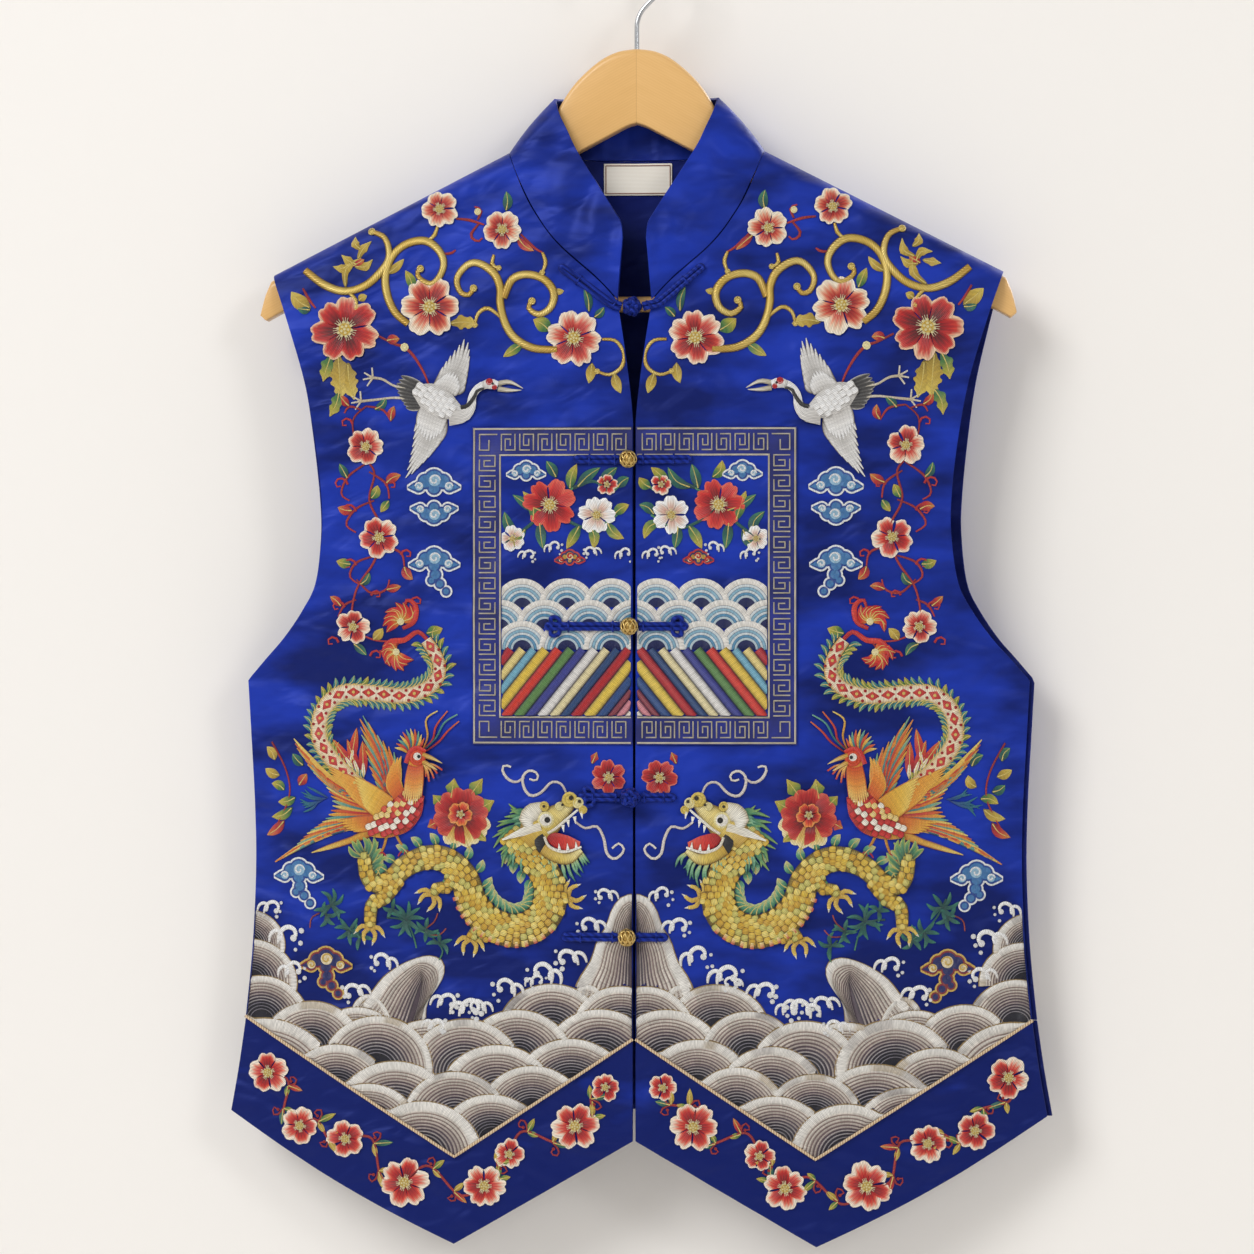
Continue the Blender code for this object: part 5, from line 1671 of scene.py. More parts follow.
def crane(draw):
    """A crane in flight: neck bent back, wings spread, legs trailing."""
    hoop = []
    for leg in (((-133, -271), (-143, -269), (-150, -265), (-156, -264)),
                ((-132, -277), (-143, -276), (-153, -277), (-163, -278))):
        stem(hoop, leg, [1.7, 1.3, 1.6], ("#E6DDCB", "#C9B99C"))
        foot = np.array(leg[-1])
        for turn in (95, 150, 190, 235):
            toe = polar(foot, 6.0, math.radians(turn))
            stem(hoop, [foot, (foot + toe) / 2, toe], [1.3, 0.9], ("#C9B99C", "#F1E9DA"))
    feathers(hoop, ((-126, -269), (-130, -275), (-127, -282)),
             ((-139, -263), (-142, -269), (-140, -275), (-136, -282)), 9, 4.2, CRANE_BLACK, lift=0.25,
             rim="#CFCBC6")
    feathers(hoop, ((-119, -269), (-111, -270), (-105, -274)),
             ((-114, -258), (-110, -252), (-105, -246), (-100, -241), (-98, -250), (-99, -259),
              (-101, -268)), 13, 3.6, CRANE_GREY, lift=0.35, rim=QUILL_LINE, bend=0.08)
    feathers(hoop, ((-120, -271), (-113, -272), (-107, -275)),
             ((-114, -264), (-110, -261), (-106, -262), (-104, -268)), 9, 4.0, CRANE_WHITE, lift=0.7,
             rim=QUILL_LINE)
    feathers(hoop, ((-112, -289), (-118, -287), (-126, -282)),
             ((-117, -304), (-122, -311), (-129, -318), (-136, -324), (-134, -315), (-132, -305),
              (-131, -296)), 13, 3.8, CRANE_GREY, lift=0.35, rim=QUILL_LINE, bend=-0.08)
    feathers(hoop, ((-112, -287), (-119, -284), (-126, -281)),
             ((-116, -298), (-123, -302), (-129, -294)), 9, 4.2, CRANE_WHITE, lift=0.7, rim=QUILL_LINE)
    patch_of(hoop, ((-131, -271), (-123, -275), (-113, -281), (-105, -285)), [6, 15, 19, 16, 9],
             CRANE_WHITE, lift=0.8, dome=1.5, rim="#CFCBC6", grain="along")
    scales(hoop, smooth([(-107, -285), (-118, -278), (-127, -272)], 4), [12, 15, 9], 3.6,
           (("#D8D4CF", "#FFFFFF"),), lift=1.5)
    patch_of(hoop, ((-110, -287), (-101, -286), (-97, -281), (-96, -275), (-92, -270), (-86, -268)),
             [12, 10, 6.4, 4.6, 4.6, 5.2], CRANE_WHITE, lift=1.2, dome=1.1, grain="along")
    stem(hoop, ((-103, -282), (-99, -281), (-95, -276), (-93, -272), (-89, -271)), [2.6, 2.2, 1.4],
         CRANE_BLACK, lift=2.1, dome=0.4)
    patch_of(hoop, ((-90, -269), (-86, -268), (-81, -269)), [4.4, 6.6, 4.6], CRANE_WHITE, lift=1.5,
             dome=1.1)
    dot(hoop, (-86, -267), 2.3, "#C01D22", lift=2.3, dome=0.5)
    dot(hoop, (-83, -270), 1.7, "#C01D22", lift=2.3, dome=0.4)
    dot(hoop, (-84, -268), 0.8, "#101014", lift=2.8, dome=0.3, steps=6)
    for beak, shift in ((((-81, -268), (-74, -267), (-66, -271)), 0),
                        (((-81, -271), (-74, -272), (-67, -272)), -0.2)):
        ribbon(hoop, smooth(beak, 4), [3.2, 2.4, 0.4], ["#C9BFA8", "#FBF6EA"], lift=1.3 + shift,
               dome=0.7, across=3, grain="along", rim="#8E8575")
    return hoop


sew_pair("embroidered_cranes", crane, 71)

# %% Phoenixes
FLAME = ("#B5231C", "#DE6A24", "#E9A93A")
GOLD_PLUME = ("#B26A1E", "#E3A838", "#F2D977")
RED_PLUME = ("#7E1220", "#C7282A", "#E4742E")
TEAL_PLUME = ("#123F4E", "#2E7F86", "#7FB89A")
STRIPE_PLUMES = (RED_PLUME, GOLD_PLUME, TEAL_PLUME, FLAME)
PLUME_EDGE = ("#E9C65A", "#4A1E22", "#1B2458")
BREAST = (
    ("#5A0C16", "#C4202A", "#D8392E"), ("#5A0C16", "#B3161F", "#C9261F"),
    ("#7A3A2A", "#F4E8D2", "#FFF9EC"), ("#5A0C16", "#D8452A", "#E8603A"),
    ("#5A2A16", "#E9C05A", "#F6E0A0"), ("#5A0C16", "#B3161F", "#D8392E"),
    ("#7A3A2A", "#F4E8D2", "#FFF9EC"),
)


def tail_of_phoenix(hoop, draw):
    """The long tail: a pale ribbon of red lozenges with teal frills on both sides."""
    line = smooth([(-124, -420), (-118, -429), (-116, -438), (-120, -446), (-129, -451), (-140, -453),
                   (-152, -452), (-165, -451), (-176, -452), (-185, -459), (-189, -468), (-189, -479),
                   (-184, -488), (-176, -497), (-164, -508)], 6)
    place = along(line)
    frills = int(length_of(line) / 3.6)
    for index in range(frills):
        f = (index + 0.5) / frills
        ahead = heading(place, f)
        right = np.array([ahead[1], -ahead[0]])
        for way in (-1, 1):
            root = place(f) + right * way * 4.0
            tip = root + (right * way * 0.8 - ahead * 0.75) * draw.uniform(5.6, 7.4)
            leaf(hoop, root, tip, 3.2, draw.choice([TEAL_PLUME, TEAL_PLUME, LEAF_GREEN]),
                 bend=0.15 * way, lift=0.12)
    ribbon(hoop, line, [7, 9.5, 10.5, 10.5, 11], ["#F3E4C4", "#F7EBD2", "#F0D9AE"], lift=0.35,
           dome=0.9, across=6, rim="#C9962E")
    count = int(length_of(line) / 9.0)
    for index in range(count):
        f = (index + 0.5) / count
        centre, ahead = place(f), heading(place, f) * 4.0
        ribbon(hoop, [centre - ahead, centre, centre + ahead], [0.6, 5.6, 0.6],
               ["#B3161F", "#D8453A", "#B3161F"], lift=1.2, dome=0.5, across=2, rows=4)
        dot(hoop, centre, 1.0, "#F2D977", lift=1.6, dome=0.4, steps=6)
        for way in (-1, 1):
            side = np.array([ahead[1], -ahead[0]]) * way * 0.75 + ahead * 1.1
            dot(hoop, centre + side, 1.0, "#B3161F", lift=1.1, dome=0.4, steps=6)


def phoenix(draw):
    hoop = []
    tail_of_phoenix(hoop, draw)
    for spot, way in (
            ((-165, -500), 1.9), ((-168, -497), 2.2), ((-162, -502), 1.6), ((-170, -494), 1.4)):
        for share, colours in ((1, RED_PLUME), (0.55, ("#F4E8D2", "#FFF9EC"))):
            leaf(hoop, spot, polar(spot, 22.0 * share, way), 5.5 * share, colours,
                 lift=0.5 - 0.2 * share)
    fan(hoop, ((-153, -528), (-152, -524), (-150, -518)),
        ((-217, -553), (-209, -548), (-201, -540), (-195, -534), (-189, -530), (-184, -525),
         (-181, -519), (-182, -513), (-186, -506), (-191, -501), (-196, -495), (-199, -490),
         (-203, -485), (-205, -479)), 34, 4.2, STRIPE_PLUMES, 0.3, 0.02, 0.07, 0.005, PLUME_EDGE)
    feathers(hoop, ((-150, -533), (-152, -528)), ((-194, -547), (-184, -545), (-175, -542),
                                                  (-165, -539)), 7, 4.0, GOLD_PLUME, lift=0.5,
             rim="#8E3A18")
    feathers(hoop, ((-146, -515), (-150, -520), (-152, -525)),
             ((-184, -495), (-181, -501), (-175, -507), (-170, -513)), 12, 4.0,
             ("#D8591C", "#EB9A32", "#F2C050"), lift=1.2, rim="#B8401A")
    feathers(hoop, ((-144, -515), (-148, -521), (-151, -526)),
             ((-168, -501), (-166, -507), (-164, -513), (-162, -518)), 10, 3.8,
             ("#E29A2E", "#F0C044", "#F8DC74"), lift=1.6, rim="#C7702A")
    feathers(hoop, ((-148, -525), (-149, -530)), ((-178, -528), (-173, -532), (-168, -534)), 6, 4.0,
             ("#C7382A", "#DE7A2A", "#F0C044"), lift=1.2, rim="#B8401A")
    fan(hoop, ((-146, -518),),
        ((-155, -504), (-158, -497), (-160, -488), (-163, -478), (-164, -464), (-155, -475),
         (-148, -482), (-140, -490)), 17, 3.6, (TEAL_PLUME, FLAME, RED_PLUME), 0.4, 0.03, 0.08,
        rims=PLUME_EDGE[:2])
    feathers(hoop, ((-142, -515), (-138, -510)), ((-146, -497), (-143, -491), (-139, -489)), 6, 3.6,
             ("#D8451C", "#EC8A2A", "#F2B040"), lift=1.0, rim="#E9C65A", bend=-0.15)
    patch_of(hoop, ((-158, -533), (-150, -531), (-140, -525), (-135, -518), (-131, -510)),
             [8, 15, 20, 20, 13], ("#E3A838", "#B5231C", "#C7282A"), lift=0.9, dome=1.4)
    scales(hoop, smooth([(-131, -511), (-135, -519), (-143, -526), (-156, -532)], 4), [13, 20, 19, 8],
           3.6, BREAST, lift=1.8)
    patch_of(hoop, ((-133, -514), (-131, -506), (-130, -498), (-130, -490)), [13, 11, 10, 9], FLAME,
             lift=1.9, dome=1.1, grain="along")
    feathers(hoop, ((-134, -494), (-130, -495), (-126, -494)),
             ((-137, -514), (-132, -518), (-127, -513)), 9, 2.6, ("#D84A1C", "#EE9A34", "#F8DE80"),
             lift=2.8, rim="#A8321A")
    fan(hoop, ((-133, -488),), ((-143, -484), (-140, -477), (-136, -473), (-130, -473), (-125, -478)),
        11, 2.2, (GOLD_PLUME, RED_PLUME, TEAL_PLUME), 0.8, 0.04, 0.1)
    for plume, colours in (
            (((-126, -485), (-123, -477), (-124, -467), (-117, -462)), GOLD_PLUME),
            (((-125, -485), (-118, -478), (-113, -469), (-105, -464)), TEAL_PLUME),
            (((-124, -486), (-116, -480), (-111, -474), (-104, -468)), RED_PLUME),
            (((-126, -485), (-120, -479), (-118, -471), (-111, -462)), RED_PLUME)):
        stem(hoop, plume, [1, 1.3, 0.8], colours, lift=0.8)
    stem(hoop, ((-136, -493), (-133, -486), (-129, -484), (-124, -486)), [2.6, 3.4, 2],
         ("#C7282A", "#D8301C"), lift=2.6)
    for tip in ((-117, -499), (-119, -502), (-114, -497), (-122, -504), (-124, -501)):
        stem(hoop, ((-126, -493), (np.array((-126, -493)) + np.array(tip)) / 2 + 1.0, tip), [1.6, 1],
             ("#F2D977", "#D8301C"), lift=2.2)
    dot(hoop, (-129, -490), 5.0, "#DE4A22", lift=2.4, dome=1.2, steps=12)
    for beak in (
            ((-126, -488), (-120, -490), (-114, -493)), ((-126, -492), (-122, -494), (-117, -497))):
        ribbon(hoop, smooth(beak, 4), [3.4, 2.4, 0.4], ["#D9A02E", "#F8E6A0"], lift=2.6, dome=0.8,
               across=3, grain="along", rim="#8E5A1E")
    dot(hoop, (-129, -489), 2.4, "#FBF6EA", lift=3.3, dome=0.5, steps=10)
    dot(hoop, (-128, -489), 1.1, "#101014", lift=3.8, dome=0.3)
    for leg in (((-148, -536), (-149, -541), (-151, -546)), ((-143, -534), (-140, -540), (-137, -544))):
        stem(hoop, leg, [1.8, 1.4], ("#D9A02E", "#C77A2C"))
        for reach in (-4, 0, 4):
            stem(hoop, (leg[-1], (leg[-1][0] + reach * 0.6, leg[-1][1] - 2.0),
                        (leg[-1][0] + reach, leg[-1][1] - 4.5)), [1.3, 0.8], ("#B3161F", "#C8304A"))
    for base, tip in (
            ((-217, -492), (-222, -484)), ((-214, -501), (-223, -497)), ((-211, -510), (-219, -506)),
            ((-204, -514), (-215, -517)), ((-206, -520), (-219, -526)), ((-199, -495), (-206, -488)),
            ((-211, -528), (-222, -537)), ((-202, -507), (-197, -500))):
        leaf(hoop, base, tip, 6.0, draw.choice([LEAF_TEAL, LEAF_RED, LEAF_GREEN, LEAF_GOLD]),
             bend=draw.uniform(-0.2, 0.2))
    stem(hoop, ((-219, -481), (-210, -498), (-208, -514), (-217, -533)), [1.2, 0.9], VINE_RED)
    strands(hoop, ((-184, -514), (-190, -517)), ((-198, -507), (-203, -513), (-204, -518),
                                                 (-201, -524)), 9, 1.6, ("#12398A", "#2E7F86"), draw,
            lift=0.15)
    return hoop


sew_pair("embroidered_phoenixes", phoenix, 81)

# %% Dragons
DRAGON_SCALES = (
    ("#2E2008", "#D2A632", "#E9C94C"), ("#2E2008", "#B98A24", "#DDB43A"),
    ("#3A280C", "#E2C252", "#F6E486"), ("#2E2008", "#C9982C", "#ECD260"),
    ("#24301A", "#B0A64A", "#E0D678"),
)
DRAGON_SKIN = ("#A87E24", "#E0B83E", "#F2D865")
DRAGON_FIN = ("#17534A", "#3E8A63", "#9DBF62")
DRAGON_HAIR = ("#F0E08A", "#8FC79A", "#1C6E66")
DRAGON_LINE = "#3B2C12"
DRAGON_FACE = ("#C9A23A", "#E6CA60", "#F6E9A8")
FIN_TIP = ("#17534A", "#5FA37C", "#F2E6A4")
IVORY = ("#E9E1CC", "#FFFDF4")


def limb(hoop, joints, widths, way, draw):
    """A scaled leg that ends in a four-toed foot."""
    line = smooth(joints, 6)
    ribbon(hoop, line, widths, DRAGON_SKIN, lift=0.35, dome=1.2, across=5, rim=DRAGON_LINE)
    scales(hoop, line[::-1], widths[::-1], 3.3, DRAGON_SCALES, lift=0.9)
    claw(hoop, line[-1], way, 9.0, ("#C79D3E", "#EBCB62"), draw)
    for share in (0.25, 0.45):
        root = along(line)(share)
        leaf(hoop, root, root + np.array([-5.5, -4]), 3.0, DRAGON_FIN, bend=0.2, lift=0.3)


def dragon(draw):
    hoop = []
    body = smooth([(-72, -537), (-60, -550), (-51, -561), (-50, -576), (-57, -587), (-71, -592),
                   (-86, -587), (-96, -576), (-101, -561), (-111, -551), (-123, -549), (-136, -554),
                   (-146, -563), (-155, -565), (-160, -559), (-162, -546)], 6)
    widths = [14, 17, 20, 20, 20, 19, 17, 15, 13, 11, 8]
    place = along(body)
    fins = int(length_of(body) / 7.4)
    for index in range(fins):
        f = (index + 0.5) / fins
        ahead = heading(place, f)
        right = np.array([ahead[1], -ahead[0]])
        root = place(f) + right * (float(read_along(widths, f)) / 2 - 1.0)
        leaf(hoop, root, root + (right + ahead * 0.6) * 7.6, 5.4, FIN_TIP, bend=0.12)
    limb(hoop, ((-55, -573), (-47, -578), (-42, -573), (-39, -572)), [9, 8, 6], 30.0, draw)
    limb(hoop, ((-79, -589), (-87, -595), (-94, -592), (-97, -597)), [10, 8, 6], 260.0, draw)
    limb(hoop, ((-107, -557), (-111, -566), (-117, -567), (-120, -571)), [10, 8, 6], 235.0, draw)
    limb(hoop, ((-143, -564), (-150, -573), (-157, -578), (-158, -591)), [11, 9, 7], 265.0, draw)
    ribbon(hoop, body, widths, DRAGON_SKIN, lift=0.3, dome=1.5, across=6, rim=DRAGON_LINE)
    scales(hoop, body[::-1], widths[::-1], 4.0, DRAGON_SCALES, lift=1.0)
    for index in range(14):
        f = 0.28 + 0.02 * index
        ahead = heading(place, f)
        left = np.array([-ahead[1], ahead[0]])
        root = place(f) + left * 6.5
        ribbon(hoop, [root, root + left * 3.6], [2.6, 2.2], ["#F4E39A", "#C7382A"], lift=1.7,
               dome=0.5, across=3, rows=3)
    strands(hoop, ((-164, -549), (-162, -546), (-158, -549), (-156, -557)),
            ((-171, -543), (-166, -538), (-160, -536), (-155, -538), (-150, -544), (-148, -553)), 11,
            3.4, DRAGON_FIN, draw, lift=0.7, rim="#D9CE74")
    for count, reach, colours, edge in (
            (15, 1, DRAGON_FIN, "#0F3A3A"), (9, 0.6, DRAGON_HAIR, "#245A46")):
        tips = [np.array((-64, -531)) * (1.0 - reach) + np.array(tip) * reach for tip in (
            (-73, -517), (-78, -523), (-81, -531), (-83, -539), (-81, -549), (-77, -557))]
        strands(hoop, ((-59, -521), (-65, -531), (-68, -541)), tips, count, 2.8, colours, draw,
                lift=1.1, rim=edge)
    strands(hoop, ((-67, -538), (-58, -544), (-46, -550), (-31, -545)),
            ((-74, -552), (-67, -560), (-57, -557), (-46, -565), (-37, -564), (-25, -553)), 28, 2.0,
            DRAGON_HAIR, draw, lift=1.3, rim="#245A46")
    patch_of(hoop, ((-65, -539), (-59, -533), (-51, -527), (-44, -522), (-38, -516)),
             [13, 21, 19, 12, 8], DRAGON_FACE, lift=1.3, dome=1.8, rim="#7A5A18")
    ribbon(hoop, [(-55, -533), (-56, -539), (-55, -545)], [4, 6.6, 3], ["#15151D"], lift=2.7, dome=0.3)
    patch_of(hoop, ((-52, -534), (-46, -538), (-39, -540), (-32, -541)), [4, 9, 9, 4],
             ("#8E0F18", "#D8302A", "#E8604A"), lift=1.9, dome=0.8)
    patch_of(hoop, ((-54, -543), (-47, -547), (-39, -549), (-31, -544)), [7, 8, 7, 3], DRAGON_FACE,
             lift=2.1, dome=1.1, rim="#7A5A18")
    for lip in (((-51, -534), (-46, -531), (-40, -526), (-33, -520)),
                ((-53, -536), (-50, -542), (-41, -545), (-31, -542))):
        stem(hoop, lip, [1.5, 1.8, 1.2], IVORY, lift=2.9)
    for spot, radius, colour in (
            ((-38, -514), 4.6, DRAGON_FACE[1]), ((-33, -516), 3.4, DRAGON_FACE[2]),
            ((-30, -520), 2.6, DRAGON_FACE[1]), ((-44, -518), 2.6, DRAGON_FACE[2]),
            ((-53, -518), 3.0, DRAGON_FACE[1]), ((-52, -526), 5.0, DRAGON_FACE[2])):
        dot(hoop, spot, radius, colour, lift=2.9, dome=1.0, steps=12)
    for spot, radius in (((-37, -513), 1.5), ((-32, -515), 1.1), ((-53, -518), 1), ((-42, -517), 0.9)):
        dot(hoop, spot, radius, "#2A1E10", lift=4.2, dome=0.2, steps=6)
    for x, z in ((-42, -529), (-39, -526), (-35, -524), (-31, -521)):
        ribbon(hoop, [(x, z), (x + 0.6, z - 4.2)], [2.2, 0.3], IVORY[1:], lift=3.2, dome=0.5,
               across=2, rows=2)
    for x, z in ((-44, -544), (-39, -544), (-34, -543)):
        ribbon(hoop, [(x, z), (x - 0.4, z + 4.0)], [2, 0.3], IVORY[1:], lift=3.2, dome=0.5,
               across=2, rows=2)
    patch_of(hoop, ((-54, -517), (-59, -521), (-63, -526), (-61, -531)), [4, 11, 11, 4], IVORY,
             lift=2.6, dome=1.2, rim="#B8AA88")
    ribbon(hoop, smooth([(-55, -530), (-65, -533), (-78, -538)], 5), [5.5, 4.6, 0.8], IVORY, lift=2.8,
           dome=1.0, across=4, grain="along")
    dot(hoop, (-52, -526), 3.7, "#FBF6EA", lift=3.8, dome=0.6, steps=12)
    dot(hoop, (-51, -526), 1.8, "#101014", lift=4.4, dome=0.3, steps=10)
    for points in (
            ((-40, -511), (-43, -505), (-49, -504), (-55, -510), (-61, -512), (-65, -508), (-66, -501),
             (-62, -497), (-57, -499), (-58, -503), (-62, -502)),
            ((-65, -501), (-70, -504), (-75, -502), (-78, -497), (-77, -494), (-73, -495)),
            ((-35, -527), (-29, -531), (-22, -530), (-18, -537), (-16, -546), (-11, -549), (-6, -544),
             (-9, -540), (-13, -543))):
        stem(hoop, points, [1.3, 1.8, 1.2], ("#DCCFC8", "#F3ECE2"), lift=0.3, dome=0.7)
    return hoop


sew("embroidered_dragon_left", dragon(random.Random(91)), silk)
sew("embroidered_dragon_right", mirrored(dragon(random.Random(92))), silk)

# %% Peonies and sprigs
PEONY = ("#1C040A", "#64080F", "#A00D15", "#B41419", "#C02020", "#DA5A44")
BUD_PETAL = ("#6A0A12", "#B01018", "#C41A1E", "#CE2C28", "#E8806A")
STAR_LEAF = ("#0F3E3C", "#1F6158", "#3F8A70")


def peonies(draw):
    hoop = []
    for base, tip, width, colours in (
            ((-109, -514), (-107, -502), 9, LEAF_GREEN), ((-99, -514), (-90, -502), 9, LEAF_GREEN),
            ((-94, -521), (-83, -515), 9, LEAF_GREEN), ((-96, -531), (-88, -539), 9, LEAF_GREEN),
            ((-101, -534), (-98, -544), 8, LEAF_GOLD), ((-114, -518), (-120, -512), 7, LEAF_GREEN),
            ((-116, -527), (-123, -531), 7, LEAF_RED), ((-25, -493), (-22, -486), 5, LEAF_RED)):
        leaf(hoop, base, tip, width, colours, teeth=2)
    for turn in (-1.9, -1.2, -0.5):
        petal(hoop, (-103, -524), turn, 4.0, 19.5, 15.0, ("#C7882E", "#E9C66A", "#F8EBC0"), 0.25)
    for index in range(6):
        petal(hoop, (-103, -524), math.tau * (index + 0.4) / 6, 3.0, 17.1, 17.5, PEONY,
              0.4 + 0.2 * (index % 2), 0.14, 1.1)
    flower(hoop, (-103, -523), 7.7, 5, ("#5E0C14", "#C42018", "#E2552A", "#F0A050"), draw, lift=0.9)
    flower(hoop, (-15, -501), 10.6, 6, BUD_PETAL, draw)
    for points in (
            ((-184, -573), (-179, -583), (-172, -591), (-164, -597)),
            ((-148, -585), (-139, -586), (-131, -591), (-122, -595)),
            ((-136, -586), (-132, -595), (-130, -603)), ((-120, -597), (-114, -604), (-117, -611))):
        stem(hoop, points, [1.3, 0.9], LEAF_TEAL)
    for middle, leaves, reach in (
            ((-182, -578), 7, 10), ((-185, -584), 5, 8), ((-171, -593), 7, 9), ((-164, -597), 5, 8),
            ((-136, -586), 9, 11), ((-124, -592), 6, 7.5), ((-116, -600), 4, 8),
            ((-144, -580), 4, 6.5)):
        first = draw.uniform(0.0, math.tau)
        for index in range(leaves):
            turn = first + math.tau * (index + draw.uniform(-0.25, 0.25)) / leaves
            feather(hoop, middle, polar(middle, reach, turn), 2.6, STAR_LEAF, 0.2,
                    bend=draw.uniform(-0.25, 0.25))
    for points in (
            ((-124, -591), (-119, -587), (-117, -582)), ((-122, -595), (-116, -595), (-112, -591)),
            ((-189, -583), (-194, -586), (-195, -592))):
        stem(hoop, points, [0.9, 0.7], ("#7A2A2A", "#B8502E"))
    return hoop


sew_pair("embroidered_peonies", peonies, 101)

# %% [markdown]
# The badge is a square of darker cloth in two halves, sewn over the opening. Its border is
# a key fret of couched cream cord between two lines. Below, rows of blue waves stand on a
# band of slanting rainbow stripes, which is the old pattern for a shore. The upper field
# holds a spray of flowers and clouds in each half.

# %% Badge cloth and border
BADGE_HALF_WIDTH = 96.2
BADGE_TOP = -293.8
BADGE_BOTTOM = -481.8
BADGE_WALL = 0.9
LAY_GAP = 0.5
BADGE_LIFT = LAY_GAP + BADGE_WALL
FIELD_OUT = 79.5        # the inner line of the border
FIELD_TOP = -310.5
FIELD_BOTTOM = -465.5
FRET_CORD = 0.7
CREAM_CORD = ("#BFB59E", "#D4CBB6")


def badge_material():
    paint, tree = new_material("navy badge satin")
    place = place_on(tree)
    mottled = add_node(tree, "TexNoise", {"Vector": place, "Scale": 60.0, "Detail": 3.0})
    return coated(paint, {
        "Base Color": ramp(tree, mottled.outputs["Fac"], [(0.35, "#0C165C"), (0.65, "#142380")]),
        "Roughness": 0.4, "Sheen Weight": 0.15, "Sheen Roughness": 0.4,
        "Normal": bump(tree, 0.12, 0.0003, ribbed(tree, place, SATIN_RIB, "Z", Distortion=0.5))})


badge_cloth = badge_material()


def make_badge(side, side_name):
    u, v = np.meshgrid(np.linspace(0.0, 1.0, 60), np.linspace(0.0, 1.0, 100))
    z = BADGE_TOP + (BADGE_BOTTOM - BADGE_TOP) * v
    inner = FRONT_GAP / 2 + 0.2
    out = np.maximum(inner + (BADGE_HALF_WIDTH - inner) * u, gape(z) + 0.2)
    x = side * out
    item, _ = cloth_piece(f"badge_cloth_{side_name}", x, front_y(x, z, BADGE_LIFT), z, BADGE_WALL,
                          badge_cloth, side < 0)
    item.data.materials.append(satin)
    for face in item.data.polygons:
        middle = face.center / MM
        if abs(middle.x) < FIELD_OUT and FIELD_BOTTOM < middle.z < FIELD_TOP:
            face.material_index = 1
    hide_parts(f"badge_{side_name}")


def badge_y(x, z, lift):
    return front_y(x, z, BADGE_LIFT + lift)


def cord_line(hoop, points, width=1.5):
    """A straight-cornered line of couched cord."""
    points = np.asarray(points, dtype=float)
    for first, second in zip(points, points[1:]):
        run = second - first
        run = run / np.linalg.norm(run) * width / 2
        ribbon(hoop, [first - run, second + run], [width], CREAM_CORD, lift=0.2, dome=0.4, across=2,
               grain="along", rows=max(int(np.linalg.norm(second - first) / 4.0), 1))


FRET = (                # one key of the border, across and along, in shares of its size
    ((0, 0), (1, 0), (1, 0.72), (0.3, 0.72), (0.3, 0.34), (0.68, 0.34)),
    ((0, 0.3), (0, 1), (1, 1)),
)


def fret_run(hoop, start, end, inward, count):
    """Keys side by side from a start to an end, `inward` across the border."""
    start, end, inward = (np.array(value, dtype=float) for value in (start, end, inward))
    step = (end - start) / count
    for index in range(count):
        for line in FRET:
            flip = index % 2
            points = [start + step * (index + 0.1 + 0.74 * a)
                      + inward * ((1.0 - b if flip else b)) for b, a in line]
            cord_line(hoop, points, FRET_CORD)


def badge_border(side):
    hoop = []
    inner = FRONT_GAP / 2 + 1.0
    for out, top, bottom in (
            (BADGE_HALF_WIDTH - 1.2, BADGE_TOP - 1.2, BADGE_BOTTOM + 1.2),
            (FIELD_OUT, FIELD_TOP, FIELD_BOTTOM)):
        cord_line(hoop, [(-inner, top), (-out, top), (-out, bottom), (-inner, bottom)], 0.95)
    edge, low_edge = BADGE_HALF_WIDTH - 4.4, BADGE_BOTTOM + 4.4
    deep = BADGE_HALF_WIDTH - FIELD_OUT - 7.4
    fret_run(hoop, (-inner - 2.0, BADGE_TOP - 4.4), (-FIELD_OUT - 1.0, BADGE_TOP - 4.4), (0, -deep), 7)
    fret_run(hoop, (-inner - 2.0, low_edge), (-FIELD_OUT - 1.0, low_edge), (0, deep), 7)
    fret_run(hoop, (-edge, FIELD_TOP + 1.0), (-edge, FIELD_BOTTOM - 1.0), (deep, 0), 13)
    for z, way in ((BADGE_TOP - 4.4, -1.0), (low_edge, 1.0)):
        cord_line(hoop, [(-FIELD_OUT - 2.0, z), (-edge, z), (-edge, z + way * deep),
                         (-edge + deep * 0.6, z + way * deep), (-edge + deep * 0.6, z + way * 3.6)],
                  FRET_CORD)
    return hoop if side < 0 else mirrored(hoop)


# %% Badge field
# Stripes from the opening outward: colour and width along the field's foot.
STRIPES = (
    ("#F0E6D8", 4.6), ("#DB8C96", 5.4), ("#8E3A48", 4.8), ("#1F4A86", 6.8), ("#E9C94A", 8.2),
    ("#B8141E", 7.4), ("#1B4478", 6), ("#EBDDAA", 6.6), ("#E9E6E2", 7.4), ("#333A92", 6.8),
    ("#5C8A48", 7.2), ("#D8301C", 7.6), ("#E8C544", 8), ("#76B4CC", 6.2), ("#EBD688", 7),
    ("#B81A26", 7), ("#1F4A86", 7),
)
FIELD_BANDS = (
    (1, 0.80, "#F1EDE6", 0.6), (0.79, 0.70, "#DCE6EA", 0.35), (0.69, 0.60, "#8FBBD2", 0.35),
    (0.59, 0.51, "#DCE6EA", 0.35), (0.50, 0.42, "#5E9BC2", 0.35), (0.41, 0.33, "#C9DCE6", 0.35),
    (0.32, 0, "#14205C", 0.1),
)
STRIPE_TOP = FIELD_BOTTOM + 40.0


